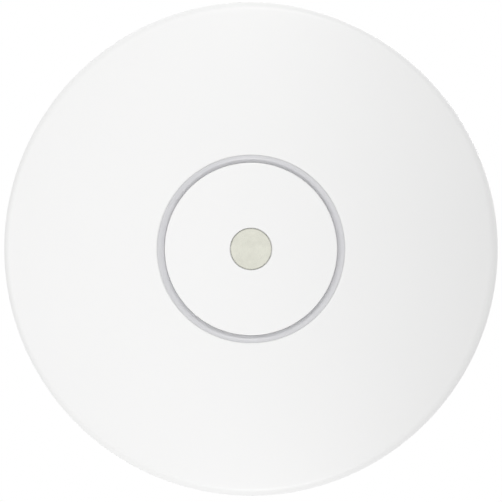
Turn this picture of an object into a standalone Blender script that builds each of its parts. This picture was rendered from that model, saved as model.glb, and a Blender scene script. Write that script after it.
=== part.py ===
"""Ceiling access point: a domed disc that hangs from a bayonet bracket.

Metres, +Z up. The origin is the centre of the bracket's back face, on the ceiling. The disc hangs
below it, with its front facing down. The sockets open towards -Y.
"""

import math

import bmesh
import bpy
from mathutils import Matrix, Vector

# Clearances
FIT = 0.0003  # between pieces that rest on or in each other
RUN = 0.0006  # around pieces that slide, turn or pass by

# Disc
DISC_RADIUS = 0.09835
CEILING_GAP = 0.0030  # ceiling to the pan's back
DISC_DEPTH = 0.0320  # pan's back to the front of the dome
PAN_DEPTH = 0.0100  # pan's back to the seam
DOME_SAG = 0.0120  # how far the front falls back from its centre to its edge
EDGE_ROUND = 0.0045  # between the front and the upright side wall
SHELL_WALL = 0.0022

# Cap, ring groove and badge
CAP_RADIUS = 0.0339
CAP_WALL = 0.0018
CAP_EDGE = 0.0004  # rounding of the cap's rim
GROOVE_WIDTH = 0.0027
GROOVE_DEPTH = 0.0018  # from the cap's rim to the light ring's face beside it
RING_RIM_DEPTH = 0.0005  # the same beside the cover, where the face has risen
RING_SWEEP = 1.6  # power of the face's curve from the one to the other
GROOVE_LIP = 0.0010  # rounding of the cover's rim at the groove
RING_FLANGE = 0.0016  # thickness
RING_OVERLAP = 0.0045  # how far the ring reaches behind the cover
RING_SHELF = 0.0045  # how far it reaches behind the cap
SNAP_WALL = 0.0012
SNAP_LIP = 0.0006
BADGE_RADIUS = 0.0080
BADGE_THICK = 0.0005

# Pan
RIM_STEP = 0.0005  # how far the pan's rim stays inside the cover's
RIM_BAND = 0.0014  # upright band above the seam
BACK_RADIUS = 0.0840  # flat part of the back
TONGUE_WALL = 0.0024
TONGUE_LENGTH = 0.0032
GASKET_WIDTH = 0.0008
GASKET_HEIGHT = 0.0012
GASKET_START = 0.0010  # seam to gasket

# Bracket and its recess
BRACKET_RADIUS = 0.0500
BRACKET_PLATE = 0.0020
BRACKET_SKIRT = 0.0070  # ceiling to the skirt's lower edge
BRACKET_WALL = 0.0020
CABLE_HOLE_RADIUS = 0.0180
LUG_REACH = 0.0024
LUG_THICK = 0.0016
LUG_SPAN = 16.0  # degrees
HOOK_THICK = 0.0016
HOOK_SPAN = 16.0
HOOK_ANGLES = (45.0, 135.0, 225.0, 315.0)
RECESS_DEPTH = 0.0060
TWIST_DEGREES = 20.0

# Ceiling screws
CEILING_SCREW_CIRCLE = 0.0270
CEILING_SCREW_RADIUS = 0.0021
CEILING_SCREW_HEAD = 0.0040
CEILING_SCREW_HEAD_THICK = 0.0024
CEILING_SCREW_REACH = 0.0200  # above the ceiling's face

# Latch spring and its cam
LATCH_HINGE_X = -0.0160
LATCH_Y = 0.0340
LATCH_WIDTH = 0.0050
LATCH_THICK = 0.0008
LATCH_NIB_X = 0.0100
LATCH_NIB_LENGTH = 0.0030
LATCH_NIB_DEPTH = 0.0021
LATCH_LIFT_DEGREES = 4.3
RIVET_RADIUS = 0.0010
RIVET_HEAD = 0.0022
RIVET_HEAD_THICK = 0.0008
CAM_POCKET = 0.0004  # gap under the nib when locked
CAM_SPARE = 0.0004  # the ramp rises this much less than the nib

# Board and spreader
HEAT_PLATE_RADIUS = 0.0540
HEAT_PLATE_THICK = 0.0020
STANDOFF_INSET = 0.0080  # from the spreader's edge
STANDOFF_RADIUS = 0.0030
STANDOFF_HEIGHT = 0.0065
STANDOFF_ANGLES = (30.0, 150.0, 210.0, 330.0)
BOARD_THICK = 0.0016
BOARD_GAP = 0.0030  # board's edge to the cover's bosses
BOARD_SCREW_RADIUS = 0.0010
BOARD_SCREW_HEAD = 0.0024
BOARD_SCREW_HEAD_THICK = 0.0012
BOARD_SCREW_LENGTH = 0.0050

# Screws that join pan and cover
CASE_SCREW_INSET = 0.0234  # from the disc's edge
CASE_SCREW_ANGLES = (45.0, 135.0, 225.0, 315.0)
CASE_SCREW_RADIUS = 0.0014
CASE_SCREW_HEAD = 0.0027
CASE_SCREW_HEAD_THICK = 0.0015
CASE_SCREW_LENGTH = 0.0110
CASE_PAD_RADIUS = 0.0042
CASE_PAD_THICK = 0.0020
BOSS_RADIUS = 0.0034

# Sockets, bay and port cover
JACK_WIDTH = 0.0160
JACK_HEIGHT = 0.0115
JACK_LENGTH = 0.0180
JACK_PITCH = 0.0180
JACK_CENTRE_X = -0.0050
JACK_SHELL = 0.0005
SOCKET_WIDTH = 0.0118
SOCKET_HEIGHT = 0.0072
SOCKET_DEPTH = 0.0125
SOCKET_KEY_WIDTH = 0.0062
SOCKET_KEY_HEIGHT = 0.0017
BAY_START = 0.0430  # distance of the socket faces from the centre
BAY_HALF_WIDTH = 0.0240
BAY_LENGTH = 0.0250
BAY_WALL = 0.0016
BAY_SILL = 0.0005  # bay floor below the sockets
COVER_THICK = 0.0012
COVER_MARGIN = 0.0020  # how far the port cover laps over the bay's edge
COVER_RAIL = 0.0010
COVER_RAIL_DEPTH = 0.0030
COVER_TRAVEL = 0.0080
COVER_GRIP = 0.0008  # height of the finger ridges
COVER_GRIP_COUNT = 4

# Reset button and its switch
RESET_X = 0.0190
RESET_DROP = 0.0034  # below the spreader's upper face
RESET_RADIUS = 0.0020
RESET_FLANGE = 0.0028
RESET_FLANGE_THICK = 0.0008
RESET_PROUD = 0.0009
RESET_TRAVEL = 0.0005
SWITCH_WIDTH = 0.0060
SWITCH_LENGTH = 0.0036
PLUNGER_RADIUS = 0.0012
PLUNGER_LENGTH = 0.0006

# Parts on the board
PROCESSOR_SIDE = 0.0190
RADIO_SIDE = 0.0120
RADIO_X = 0.0300
RADIO_Y = 0.0080
MEMORY_WIDTH = 0.0140
MEMORY_LENGTH = 0.0090
MEMORY_Y = 0.0210
FLASH_WIDTH = 0.0080
FLASH_LENGTH = 0.0060
FLASH_X = 0.0180
FLASH_Y = 0.0240
CHIP_THICK = 0.0012
PAD_INSET = 0.0010  # a thermal pad is this much smaller all round than its chip
TRANSFORMER_WIDTH = 0.0140
TRANSFORMER_LENGTH = 0.0090
TRANSFORMER_HEIGHT = 0.0030
TRANSFORMER_GAP = 0.0035  # behind a socket
INDUCTOR_SIDE = 0.0100
INDUCTOR_HEIGHT = 0.0045
INDUCTOR_X = 0.0330
CAPACITOR_RADIUS = 0.0032
CAPACITOR_HEIGHT = 0.0058
CAPACITOR_X = -0.0300
CAPACITOR_PITCH = 0.0090
SUPPLY_Y = -0.0060
CAN_WALL = 0.0004
CAN_HEIGHT = 0.0031
WIDE_CAN_WIDTH = 0.0280
WIDE_CAN_LENGTH = 0.0220
WIDE_CAN_Y = 0.0120
SMALL_CAN_WIDTH = 0.0180
SMALL_CAN_LENGTH = 0.0140
SMALL_CAN_X = 0.0105
SMALL_CAN_Y = 0.0420
ANTENNA_INSET = 0.0025  # from the board's edge
ANTENNA_WIDTH = 0.0120
ANTENNA_REACH = 0.0140
ANTENNA_FOOT = 0.0040
ANTENNA_RISE = 0.0060
ANTENNA_SHEET = 0.0004
LED_SIDE = 0.0032
LED_THICK = 0.0008
LIGHT_LEG_RADIUS = 0.0015
LIGHT_LEG_ANGLES = (45.0, 135.0, 225.0, 315.0)

SEGMENTS = 60
SMALL_SEGMENTS = 16

# Heights that follow from the sizes
BACK_Z = -CEILING_GAP
SEAM_Z = BACK_Z - PAN_DEPTH
FRONT_Z = BACK_Z - DISC_DEPTH
RECESS_Z = BACK_Z - RECESS_DEPTH
RECESS_UNDER_Z = RECESS_Z - SHELL_WALL
HEAT_TOP_Z = RECESS_UNDER_Z - FIT
HEAT_UNDER_Z = HEAT_TOP_Z - HEAT_PLATE_THICK
BOARD_TOP_Z = RECESS_UNDER_Z - STANDOFF_HEIGHT - FIT
BOARD_UNDER_Z = BOARD_TOP_Z - BOARD_THICK
JACK_TOP_Z = RECESS_UNDER_Z - FIT
JACK_UNDER_Z = JACK_TOP_Z - JACK_HEIGHT
BAY_FLOOR_Z = JACK_UNDER_Z - BAY_SILL
BAY_UNDER_Z = BAY_FLOOR_Z - BAY_WALL

# Radii and places that follow
GROOVE_RADIUS = CAP_RADIUS + GROOVE_WIDTH
RING_OUTER = GROOVE_RADIUS + RING_OVERLAP
RING_INNER = CAP_RADIUS - RING_SHELF
PAN_RIM_RADIUS = DISC_RADIUS - RIM_STEP
TONGUE_END_Z = SEAM_Z - TONGUE_LENGTH
COVER_BORE = DISC_RADIUS - SHELL_WALL
TONGUE_OUTER = COVER_BORE - FIT
TONGUE_INNER = TONGUE_OUTER - TONGUE_WALL
RECESS_RADIUS = BRACKET_RADIUS + LUG_REACH + RUN
CASE_SCREW_CIRCLE = DISC_RADIUS - CASE_SCREW_INSET
BOARD_RADIUS = CASE_SCREW_CIRCLE - BOSS_RADIUS - BOARD_GAP
STANDOFF_CIRCLE = HEAT_PLATE_RADIUS - STANDOFF_INSET
ANTENNA_START = BOARD_RADIUS - ANTENNA_INSET - ANTENNA_REACH + ANTENNA_FOOT
LUG_TOP_Z = LUG_THICK - BRACKET_SKIRT
HOOK_UNDER_Z = LUG_TOP_Z + FIT
BAY_END_Y = -BAY_START - BAY_LENGTH
LIGHT_LEG_CIRCLE = (CAP_RADIUS + GROOVE_RADIUS) / 2
LATCH_TOP_Z = -BRACKET_PLATE - RUN
LATCH_UNDER_Z = LATCH_TOP_Z - LATCH_THICK
NIB_UNDER_Z = LATCH_UNDER_Z - LATCH_NIB_DEPTH


def dome_z(radius, inset=0.0):
    """Height of the front's outer face, or of the face that lies inset behind it, at a radius."""
    return FRONT_Z + inset + DOME_SAG * (radius / DISC_RADIUS) ** 2


def dome_points(start, steps, bend_steps, inset=0.0):
    """Outline from a start radius out over the front, and round its edge up to the side wall."""
    reach = DISC_RADIUS - inset
    bend = EDGE_ROUND - inset
    lean = math.atan(2 * DOME_SAG * (reach - bend) / DISC_RADIUS**2)
    turn = reach - bend * (1.0 - math.sin(lean))
    points = []
    for step in range(steps + 1):
        radius = start + (turn - start) * step / steps
        points.append((radius, dome_z(radius, inset)))
    middle = (reach - bend, dome_z(turn, inset) + bend * math.cos(lean))
    return points + arc(middle, bend, bend, math.degrees(lean) - 90.0, 0.0, bend_steps)[1:]


def arc(centre, radius_r, radius_z, start, end, steps):
    """Points along a round or oval bend of a turned outline, in degrees from its +radius direction."""
    points = []
    for step in range(steps + 1):
        angle = math.radians(start + (end - start) * step / steps)
        points.append((centre[0] + radius_r * math.cos(angle), centre[1] + radius_z * math.sin(angle)))
    return points


def around(radius, degrees):
    """Place at a radius and an angle about the centre."""
    angle = math.radians(degrees)
    return radius * math.cos(angle), radius * math.sin(angle)


def add_block(mesh, low, high, turn=0.0):
    """A box between two corners, turned about the Z axis by a number of degrees."""
    size = [b - a for a, b in zip(low, high)]
    middle = [(a + b) / 2 for a, b in zip(low, high)]
    place = Matrix.Translation(middle) @ Matrix.Diagonal((*size, 1.0))
    if turn:
        place = Matrix.Rotation(math.radians(turn), 4, "Z") @ place
    bmesh.ops.create_cube(mesh, size=1.0, matrix=place)


def add_rod(mesh, radius, start, end, segments=SMALL_SEGMENTS):
    """A round bar between two points."""
    start = Vector(start)
    end = Vector(end)
    along = end - start
    place = Matrix.Translation((start + end) / 2) @ along.to_track_quat("Z", "Y").to_matrix().to_4x4()
    size = {"radius1": radius, "radius2": radius, "depth": along.length}
    bmesh.ops.create_cone(mesh, cap_ends=True, segments=segments, matrix=place, **size)


def add_turned(mesh, outline, segments=SEGMENTS, centre=(0.0, 0.0)):
    """A closed outline of (radius, height) points, turned about an upright axis."""
    rings = []
    for radius, height in outline:
        if radius == 0.0:
            rings.append([mesh.verts.new((centre[0], centre[1], height))] * segments)
            continue
        ring = []
        for step in range(segments):
            x, y = around(radius, 360.0 * step / segments)
            ring.append(mesh.verts.new((centre[0] + x, centre[1] + y, height)))
        rings.append(ring)
    for ring, following in zip(rings, rings[1:] + rings[:1]):
        for step in range(segments):
            after = (step + 1) % segments
            corners = []
            for corner in (ring[step], ring[after], following[after], following[step]):
                if corner not in corners:
                    corners.append(corner)
            if len(corners) > 2:
                mesh.faces.new(corners)


def add_disc(mesh, radius, under, top):
    """A flat round plate about the centre."""
    add_turned(mesh, [(0.0, top), (0.0, under), (radius, under), (radius, top)])


def add_sector(mesh, stations, inner, outer, under):
    """A block bent about the centre: stations are (degrees, top height) along it."""
    rows = []
    for degrees, top in stations:
        row = []
        for radius, height in ((inner, under), (outer, under), (outer, top), (inner, top)):
            x, y = around(radius, degrees)
            row.append(mesh.verts.new((x, y, height)))
        rows.append(row)
    for row, following in zip(rows, rows[1:]):
        for side in range(4):
            after = (side + 1) % 4
            mesh.faces.new((row[side], row[after], following[after], following[side]))
    mesh.faces.new(rows[0])
    mesh.faces.new(rows[-1])


def flat_sector(degrees, span, height):
    """Stations for a bent block with a level top, centred on an angle."""
    steps = 3
    return [(degrees - span / 2 + span * step / steps, height) for step in range(steps + 1)]


def add_prism(mesh, outline, width, turn, shift=0.0):
    """An (outward, height) outline, swept sideways over a width, at an angle about the Z axis."""
    place = Matrix.Rotation(math.radians(turn), 4, "Z") @ Matrix.Translation((shift, 0.0, 0.0))
    sides = []
    for side in (-width / 2, width / 2):
        sides.append([mesh.verts.new(place @ Vector((out, side, height))) for out, height in outline])
    count = len(outline)
    for step in range(count):
        after = (step + 1) % count
        mesh.faces.new((sides[0][step], sides[0][after], sides[1][after], sides[1][step]))
    mesh.faces.new(sides[0])
    mesh.faces.new(sides[1])


def make_material(name, colour, roughness, metallic=0.0):
    made = bpy.data.materials.new(name)
    made.use_nodes = True
    shader = made.node_tree.nodes["Principled BSDF"]
    shader.inputs["Base Color"].default_value = (*colour, 1.0)
    shader.inputs["Roughness"].default_value = roughness
    shader.inputs["Metallic"].default_value = metallic
    return made


def make_empty(name, place, parent=None):
    """A joint's axis. Places are in the world, whatever the parent."""
    empty = bpy.data.objects.new(name, None)
    empty.empty_display_size = 0.01
    bpy.context.scene.collection.objects.link(empty)
    empty.location = place
    if parent:
        empty.parent = parent
        empty.matrix_parent_inverse = Matrix.Translation(parent.location).inverted()
    return empty


def make_piece(name, mesh, material, parent):
    """Turns a bmesh in world places into a named object that hangs under a joint's empty."""
    bmesh.ops.recalc_face_normals(mesh, faces=mesh.faces[:])
    data = bpy.data.meshes.new(name)
    mesh.to_mesh(data)
    mesh.free()
    data.shade_smooth()
    data.set_sharp_from_angle(angle=math.radians(35.0))
    piece = bpy.data.objects.new(name, data)
    bpy.context.scene.collection.objects.link(piece)
    if material:
        data.materials.append(material)
    piece.parent = parent
    piece.matrix_parent_inverse = Matrix.Translation(parent.location).inverted()
    return piece


def shape_with(piece, name, mesh, operation):
    """Joins a guide to a piece, or cuts it away. The guide stays hidden."""
    guide = make_piece(name, mesh, None, piece.parent)
    guide.hide_render = True
    guide.display_type = "WIRE"
    modifier = piece.modifiers.new(name, "BOOLEAN")
    modifier.solver = "EXACT"
    modifier.operation = operation
    modifier.object = guide


def jack_centres():
    return [JACK_CENTRE_X - JACK_PITCH / 2, JACK_CENTRE_X + JACK_PITCH / 2]


def make_front_cover(axis):
    inner_z = dome_z(GROOVE_RADIUS, SHELL_WALL)
    lip_z = dome_z(GROOVE_RADIUS + GROOVE_LIP) + GROOVE_LIP
    lip = arc((GROOVE_RADIUS + GROOVE_LIP, lip_z), GROOVE_LIP, GROOVE_LIP, 180, 270, 3)[:-1]
    outline = [(GROOVE_RADIUS, inner_z)] + lip
    outline += dome_points(GROOVE_RADIUS + GROOVE_LIP, 7, 4)
    outline += [(DISC_RADIUS, SEAM_Z - FIT), (COVER_BORE, SEAM_Z - FIT)]
    outline += dome_points(GROOVE_RADIUS, 6, 3, SHELL_WALL)[1:][::-1]
    mesh = bmesh.new()
    add_turned(mesh, outline)
    cover = make_piece("front_cover", mesh, WHITE, axis)

    boss_top = case_pad_under_z() - FIT
    bosses = bmesh.new()
    pilots = bmesh.new()
    for degrees in CASE_SCREW_ANGLES:
        x, y = around(CASE_SCREW_CIRCLE, degrees)
        root = dome_z(CASE_SCREW_CIRCLE) + SHELL_WALL * 0.6
        add_rod(bosses, BOSS_RADIUS, (x, y, boss_top), (x, y, root))
        screw_tip = case_screw_seat_z() - CASE_SCREW_LENGTH
        add_rod(pilots, CASE_SCREW_RADIUS + FIT, (x, y, boss_top + RUN), (x, y, screw_tip - RUN))
    shape_with(cover, "cover_bosses", bosses, "UNION")
    shape_with(cover, "cover_boss_pilots", pilots, "DIFFERENCE")


def case_screw_seat_z():
    """Height of the seat under the head of a screw that joins pan and cover."""
    return BACK_Z - CASE_SCREW_HEAD_THICK - RUN


def case_pad_under_z():
    return case_screw_seat_z() - CASE_PAD_THICK


def ring_flange_z():
    """Front of the light ring's flange, just behind the cover."""
    return dome_z(RING_OUTER, SHELL_WALL) + FIT


def ring_back_z():
    return ring_flange_z() + RING_FLANGE


def make_light_ring(axis):
    """The guide in the groove: its face rises from the cap to the cover, and its legs reach the lamps."""
    front = ring_flange_z()
    back = ring_back_z()
    rim_z = dome_z(GROOVE_RADIUS)
    inner = CAP_RADIUS + FIT
    outer = GROOVE_RADIUS - FIT
    outline = [(RING_INNER, back), (RING_INNER, front), (inner, front)]
    steps = 3
    for step in range(steps + 1):
        share = step / steps
        depth = RING_RIM_DEPTH + (GROOVE_DEPTH - RING_RIM_DEPTH) * (1.0 - share) ** RING_SWEEP
        outline.append((inner + (outer - inner) * share, rim_z + depth))
    outline += [(outer, front), (RING_OUTER, front), (RING_OUTER, back)]
    mesh = bmesh.new()
    add_turned(mesh, outline)
    ring = make_piece("light_ring", mesh, LIGHT_GUIDE, axis)
    legs = bmesh.new()
    for degrees in LIGHT_LEG_ANGLES:
        x, y = around(LIGHT_LEG_CIRCLE, degrees)
        add_rod(legs, LIGHT_LEG_RADIUS, (x, y, led_under_z() - FIT), (x, y, back - RING_FLANGE / 2), 12)
    shape_with(ring, "ring_legs", legs, "UNION")


def make_centre_cap(axis):
    rest = ring_flange_z() - FIT
    face = dome_z(CAP_RADIUS)
    pocket = badge_face_z() + BADGE_THICK + FIT
    snap_radius = RING_INNER - FIT - SNAP_LIP
    snap_z = ring_back_z() + FIT
    outline = [(0.0, pocket), (BADGE_RADIUS + FIT, pocket), (BADGE_RADIUS + FIT, dome_z(BADGE_RADIUS))]
    steps = 4
    for step in range(1, steps):
        radius = BADGE_RADIUS + (CAP_RADIUS - BADGE_RADIUS) * step / steps
        outline.append((radius, dome_z(radius)))
    outline += arc((CAP_RADIUS - CAP_EDGE, face + CAP_EDGE), CAP_EDGE, CAP_EDGE, 270, 360, 2)
    outline += [
        (CAP_RADIUS, rest),
        (snap_radius, rest),
        (snap_radius, snap_z),
        (snap_radius + SNAP_LIP * 2, snap_z),
        (snap_radius, snap_z + SNAP_LIP * 2),
        (snap_radius - SNAP_WALL, snap_z + SNAP_LIP * 2),
        (snap_radius - SNAP_WALL, face + CAP_WALL),
        (0.0, face + CAP_WALL),
    ]
    mesh = bmesh.new()
    add_turned(mesh, outline)
    make_piece("centre_cap", mesh, WHITE, axis)


def badge_face_z():
    """The badge lies flush with the cap around it."""
    return dome_z(BADGE_RADIUS)


def make_centre_badge(axis):
    face = badge_face_z()
    mesh = bmesh.new()
    bevel = BADGE_THICK / 4
    outline = [
        (0.0, face),
        (BADGE_RADIUS - bevel, face),
        (BADGE_RADIUS, face + bevel),
        (BADGE_RADIUS, face + BADGE_THICK),
        (0.0, face + BADGE_THICK),
    ]
    add_turned(mesh, outline, 48)
    make_piece("centre_badge", mesh, BADGE_METAL, axis)


def make_seal_gasket(axis):
    top = SEAM_Z - GASKET_START
    under = top - GASKET_HEIGHT
    mesh = bmesh.new()
    inner = TONGUE_OUTER - GASKET_WIDTH
    add_turned(mesh, [(inner, top), (inner, under), (TONGUE_OUTER, under), (TONGUE_OUTER, top)])
    make_piece("seal_gasket", mesh, SEAL, axis)


def pan_outline():
    """Half section of the pan: back, recess, inner faces, tongue with the gasket's groove, and rim."""
    band = SEAM_Z + RIM_BAND
    floor = BACK_Z - SHELL_WALL
    groove = TONGUE_OUTER - GASKET_WIDTH - FIT
    groove_top = SEAM_Z - GASKET_START + FIT
    groove_under = SEAM_Z - GASKET_START - GASKET_HEIGHT - FIT
    outline = [(0.0, RECESS_Z), (RECESS_RADIUS, RECESS_Z), (RECESS_RADIUS, BACK_Z)]
    shoulder = (BACK_RADIUS, band)
    outline += arc(shoulder, PAN_RIM_RADIUS - BACK_RADIUS, BACK_Z - band, 90, 0, 5)
    outline += [
        (PAN_RIM_RADIUS, SEAM_Z),
        (TONGUE_OUTER, SEAM_Z),
        (TONGUE_OUTER, groove_top),
        (groove, groove_top),
        (groove, groove_under),
        (TONGUE_OUTER, groove_under),
        (TONGUE_OUTER, TONGUE_END_Z),
        (TONGUE_INNER, TONGUE_END_Z),
    ]
    outline += arc(shoulder, TONGUE_INNER - BACK_RADIUS, floor - band, 0, 90, 4)
    outline += [
        (RECESS_RADIUS + SHELL_WALL, floor),
        (RECESS_RADIUS + SHELL_WALL, RECESS_UNDER_Z),
        (0.0, RECESS_UNDER_Z),
    ]
    return outline


def make_back_housing(axis):
    mesh = bmesh.new()
    add_turned(mesh, pan_outline())
    pan = make_piece("back_housing", mesh, WHITE, axis)
    shape_with(pan, "pan_additions", pan_additions(), "UNION")
    shape_with(pan, "pan_bay_body", pan_bay_body(), "UNION")
    shape_with(pan, "pan_latch_cam", pan_latch_cam(), "UNION")
    shape_with(pan, "pan_bay_hollow", pan_bay_hollow(), "DIFFERENCE")
    shape_with(pan, "pan_holes", pan_holes(), "DIFFERENCE")


def pan_additions():
    """Bayonet hooks, standoffs for the board and pads for the case screws."""
    mesh = bmesh.new()
    for degrees in HOOK_ANGLES:
        hook = flat_sector(degrees, HOOK_SPAN, HOOK_UNDER_Z + HOOK_THICK)
        add_sector(mesh, hook, BRACKET_RADIUS + RUN, RECESS_RADIUS + SHELL_WALL / 2, HOOK_UNDER_Z)
    for degrees in STANDOFF_ANGLES:
        x, y = around(STANDOFF_CIRCLE, degrees)
        top = RECESS_UNDER_Z + SHELL_WALL / 2
        add_rod(mesh, STANDOFF_RADIUS, (x, y, BOARD_TOP_Z + FIT), (x, y, top))
    for degrees in CASE_SCREW_ANGLES:
        x, y = around(CASE_SCREW_CIRCLE, degrees)
        add_rod(mesh, CASE_PAD_RADIUS, (x, y, case_pad_under_z()), (x, y, BACK_Z - SHELL_WALL / 2))
    return mesh


def pan_bay_body():
    """The outside of the cable bay: low under the recess, and up to the pan's back beyond its wall."""
    near = -BAY_START + BAY_WALL
    far = BAY_END_Y - BAY_WALL
    wall = -math.sqrt(RECESS_RADIUS**2 - BAY_HALF_WIDTH**2) - FIT
    low_top = RECESS_Z - SHELL_WALL / 2
    high_top = BACK_Z - SHELL_WALL / 2
    outline = [
        (near, BAY_UNDER_Z),
        (near, low_top),
        (wall, low_top),
        (wall, high_top),
        (far, high_top),
        (far, BAY_UNDER_Z),
    ]
    mesh = bmesh.new()
    add_prism(mesh, outline, 2 * (BAY_HALF_WIDTH + BAY_WALL), 90.0)
    return mesh


def pan_bay_hollow():
    mesh = bmesh.new()
    low = (-BAY_HALF_WIDTH, BAY_END_Y, BAY_FLOOR_Z)
    add_block(mesh, low, (BAY_HALF_WIDTH, -BAY_START, 0.0))
    return mesh


def pan_latch_cam():
    """A block on the recess floor: the pocket that holds the latch's nib, and the ramp that lifts it."""
    start = math.degrees(math.atan2(LATCH_Y, LATCH_NIB_X))
    radius = math.hypot(LATCH_Y, LATCH_NIB_X)
    half = math.degrees(LATCH_NIB_LENGTH / 2 / radius)
    pocket = NIB_UNDER_Z - CAM_POCKET
    arm = LATCH_NIB_X - LATCH_NIB_LENGTH / 2 - LATCH_HINGE_X
    crest = pocket + arm * math.sin(math.radians(LATCH_LIFT_DEGREES)) - CAM_SPARE
    stations = [
        (start - TWIST_DEGREES - 3 * half, crest),
        (start - TWIST_DEGREES, crest),
        (start - 1.5 * half, pocket),
        (start + 1.5 * half, pocket),
        (start + 1.6 * half, crest),
        (start + 3 * half, crest),
    ]
    mesh = bmesh.new()
    reach = LATCH_WIDTH / 2 + RUN
    add_sector(mesh, stations, radius - reach, radius + reach, RECESS_Z - SHELL_WALL / 2)
    return mesh


def pan_holes():
    """Windows for the sockets and the reset button, screw holes and the standoffs' pilots."""
    mesh = bmesh.new()
    wall = (-BAY_START - RUN, -BAY_START + BAY_WALL + RUN)
    for x in jack_centres():
        low = (x - JACK_WIDTH / 2 - FIT, wall[0], JACK_UNDER_Z - FIT)
        high = (x + JACK_WIDTH / 2 + FIT, wall[1], JACK_TOP_Z + FIT)
        add_block(mesh, low, high)
    height = reset_z()
    add_rod(mesh, RESET_RADIUS + FIT, (RESET_X, wall[0], height), (RESET_X, wall[1], height))
    for degrees in CASE_SCREW_ANGLES:
        x, y = around(CASE_SCREW_CIRCLE, degrees)
        seat = case_screw_seat_z()
        add_turned(
            mesh,
            [
                (0.0, BACK_Z + RUN),
                (CASE_SCREW_HEAD + FIT, BACK_Z + RUN),
                (CASE_SCREW_HEAD + FIT, seat),
                (CASE_SCREW_RADIUS + FIT, seat),
                (CASE_SCREW_RADIUS + FIT, case_pad_under_z() - RUN),
                (0.0, case_pad_under_z() - RUN),
            ],
            SMALL_SEGMENTS,
            (x, y),
        )
    for degrees in STANDOFF_ANGLES:
        x, y = around(STANDOFF_CIRCLE, degrees)
        tip = BOARD_UNDER_Z - FIT + BOARD_SCREW_LENGTH
        add_rod(mesh, BOARD_SCREW_RADIUS + FIT, (x, y, BOARD_TOP_Z), (x, y, tip + RUN), 12)
    return mesh


def reset_z():
    return HEAT_TOP_Z - RESET_DROP


def make_port_cover(axis):
    """A plate over the cable bay, with two rails inside the bay's sides and a few finger ridges."""
    under = BACK_Z + FIT
    top = under + COVER_THICK
    side = BAY_HALF_WIDTH + COVER_MARGIN
    near = -RECESS_RADIUS - RUN
    far = BAY_END_Y - COVER_MARGIN
    mesh = bmesh.new()
    add_block(mesh, (-side, far, under), (side, near, top))
    cover = make_piece("port_cover", mesh, WHITE, axis)

    extras = bmesh.new()
    rail_end = BAY_END_Y + COVER_TRAVEL + RUN
    for direction in (-1, 1):
        outer = direction * (BAY_HALF_WIDTH - FIT)
        inner = outer - direction * COVER_RAIL
        low = (min(outer, inner), rail_end, under - COVER_RAIL_DEPTH)
        add_block(extras, low, (max(outer, inner), near - RUN, under + COVER_THICK / 2))
    ridge = COVER_THICK / 2
    for count in range(COVER_GRIP_COUNT):
        y = far + COVER_MARGIN + count * COVER_MARGIN
        add_block(extras, (-side / 3, y, top - ridge), (side / 3, y + COVER_GRIP, top + COVER_GRIP))
    shape_with(cover, "cover_extras", extras, "UNION")


def make_reset_button(axis):
    wall_inside = -BAY_START + BAY_WALL
    place = (RESET_X, reset_z())
    flange = wall_inside + FIT
    mesh = bmesh.new()
    add_turned(
        mesh,
        [
            (0.0, -BAY_START - RESET_PROUD),
            (RESET_RADIUS, -BAY_START - RESET_PROUD),
            (RESET_RADIUS, flange),
            (RESET_FLANGE, flange),
            (RESET_FLANGE, flange + RESET_FLANGE_THICK),
            (0.0, flange + RESET_FLANGE_THICK),
        ],
        SMALL_SEGMENTS,
    )
    turn = Matrix.Rotation(-math.pi / 2, 4, "X")
    shift = Matrix.Translation((place[0], 0.0, place[1]))
    bmesh.ops.transform(mesh, matrix=shift @ turn, verts=mesh.verts)
    make_piece("reset_button", mesh, GREY_PLASTIC, axis)


def make_tact_switch(axis):
    """Switch on the board behind the reset button, with its plunger towards the button."""
    rest = -BAY_START + BAY_WALL + FIT + RESET_FLANGE_THICK
    plunger = rest + RESET_TRAVEL + FIT
    face = plunger + PLUNGER_LENGTH
    half = SWITCH_WIDTH / 2
    mesh = bmesh.new()
    low = (RESET_X - half, face, BOARD_TOP_Z + FIT)
    add_block(mesh, low, (RESET_X + half, face + SWITCH_LENGTH, reset_z() + half))
    switch = make_piece("tact_switch", mesh, BLACK_PLASTIC, axis)
    tip = bmesh.new()
    root = (RESET_X, face + PLUNGER_LENGTH, reset_z())
    add_rod(tip, PLUNGER_RADIUS, (RESET_X, plunger, reset_z()), root, 12)
    shape_with(switch, "switch_plunger", tip, "UNION")


def add_bay_notch(mesh, low_z, high_z, clearance):
    """The room that a plate leaves for the cable bay."""
    side = BAY_HALF_WIDTH + BAY_WALL + clearance
    add_block(mesh, (-side, -DISC_RADIUS, low_z), (side, -BAY_START + BAY_WALL + clearance, high_z))


def make_heat_plate(axis):
    mesh = bmesh.new()
    add_disc(mesh, HEAT_PLATE_RADIUS, HEAT_UNDER_Z, HEAT_TOP_Z)
    plate = make_piece("heat_plate", mesh, ALUMINIUM, axis)
    low_z = HEAT_UNDER_Z - RUN
    high_z = HEAT_TOP_Z + RUN
    bay = bmesh.new()
    add_bay_notch(bay, low_z, high_z, RUN)
    shape_with(plate, "heat_plate_bay", bay, "DIFFERENCE")
    inlets = bmesh.new()
    left = jack_centres()[0] - JACK_WIDTH / 2 - RUN
    right = RESET_X + SWITCH_WIDTH / 2 + RUN
    add_block(inlets, (left, -BAY_START, low_z), (right, -BAY_START + JACK_LENGTH + 2 * RUN, high_z))
    for degrees in STANDOFF_ANGLES:
        x, y = around(STANDOFF_CIRCLE, degrees)
        add_rod(inlets, STANDOFF_RADIUS + RUN, (x, y, low_z), (x, y, high_z))
    shape_with(plate, "heat_plate_inlets", inlets, "DIFFERENCE")


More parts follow.
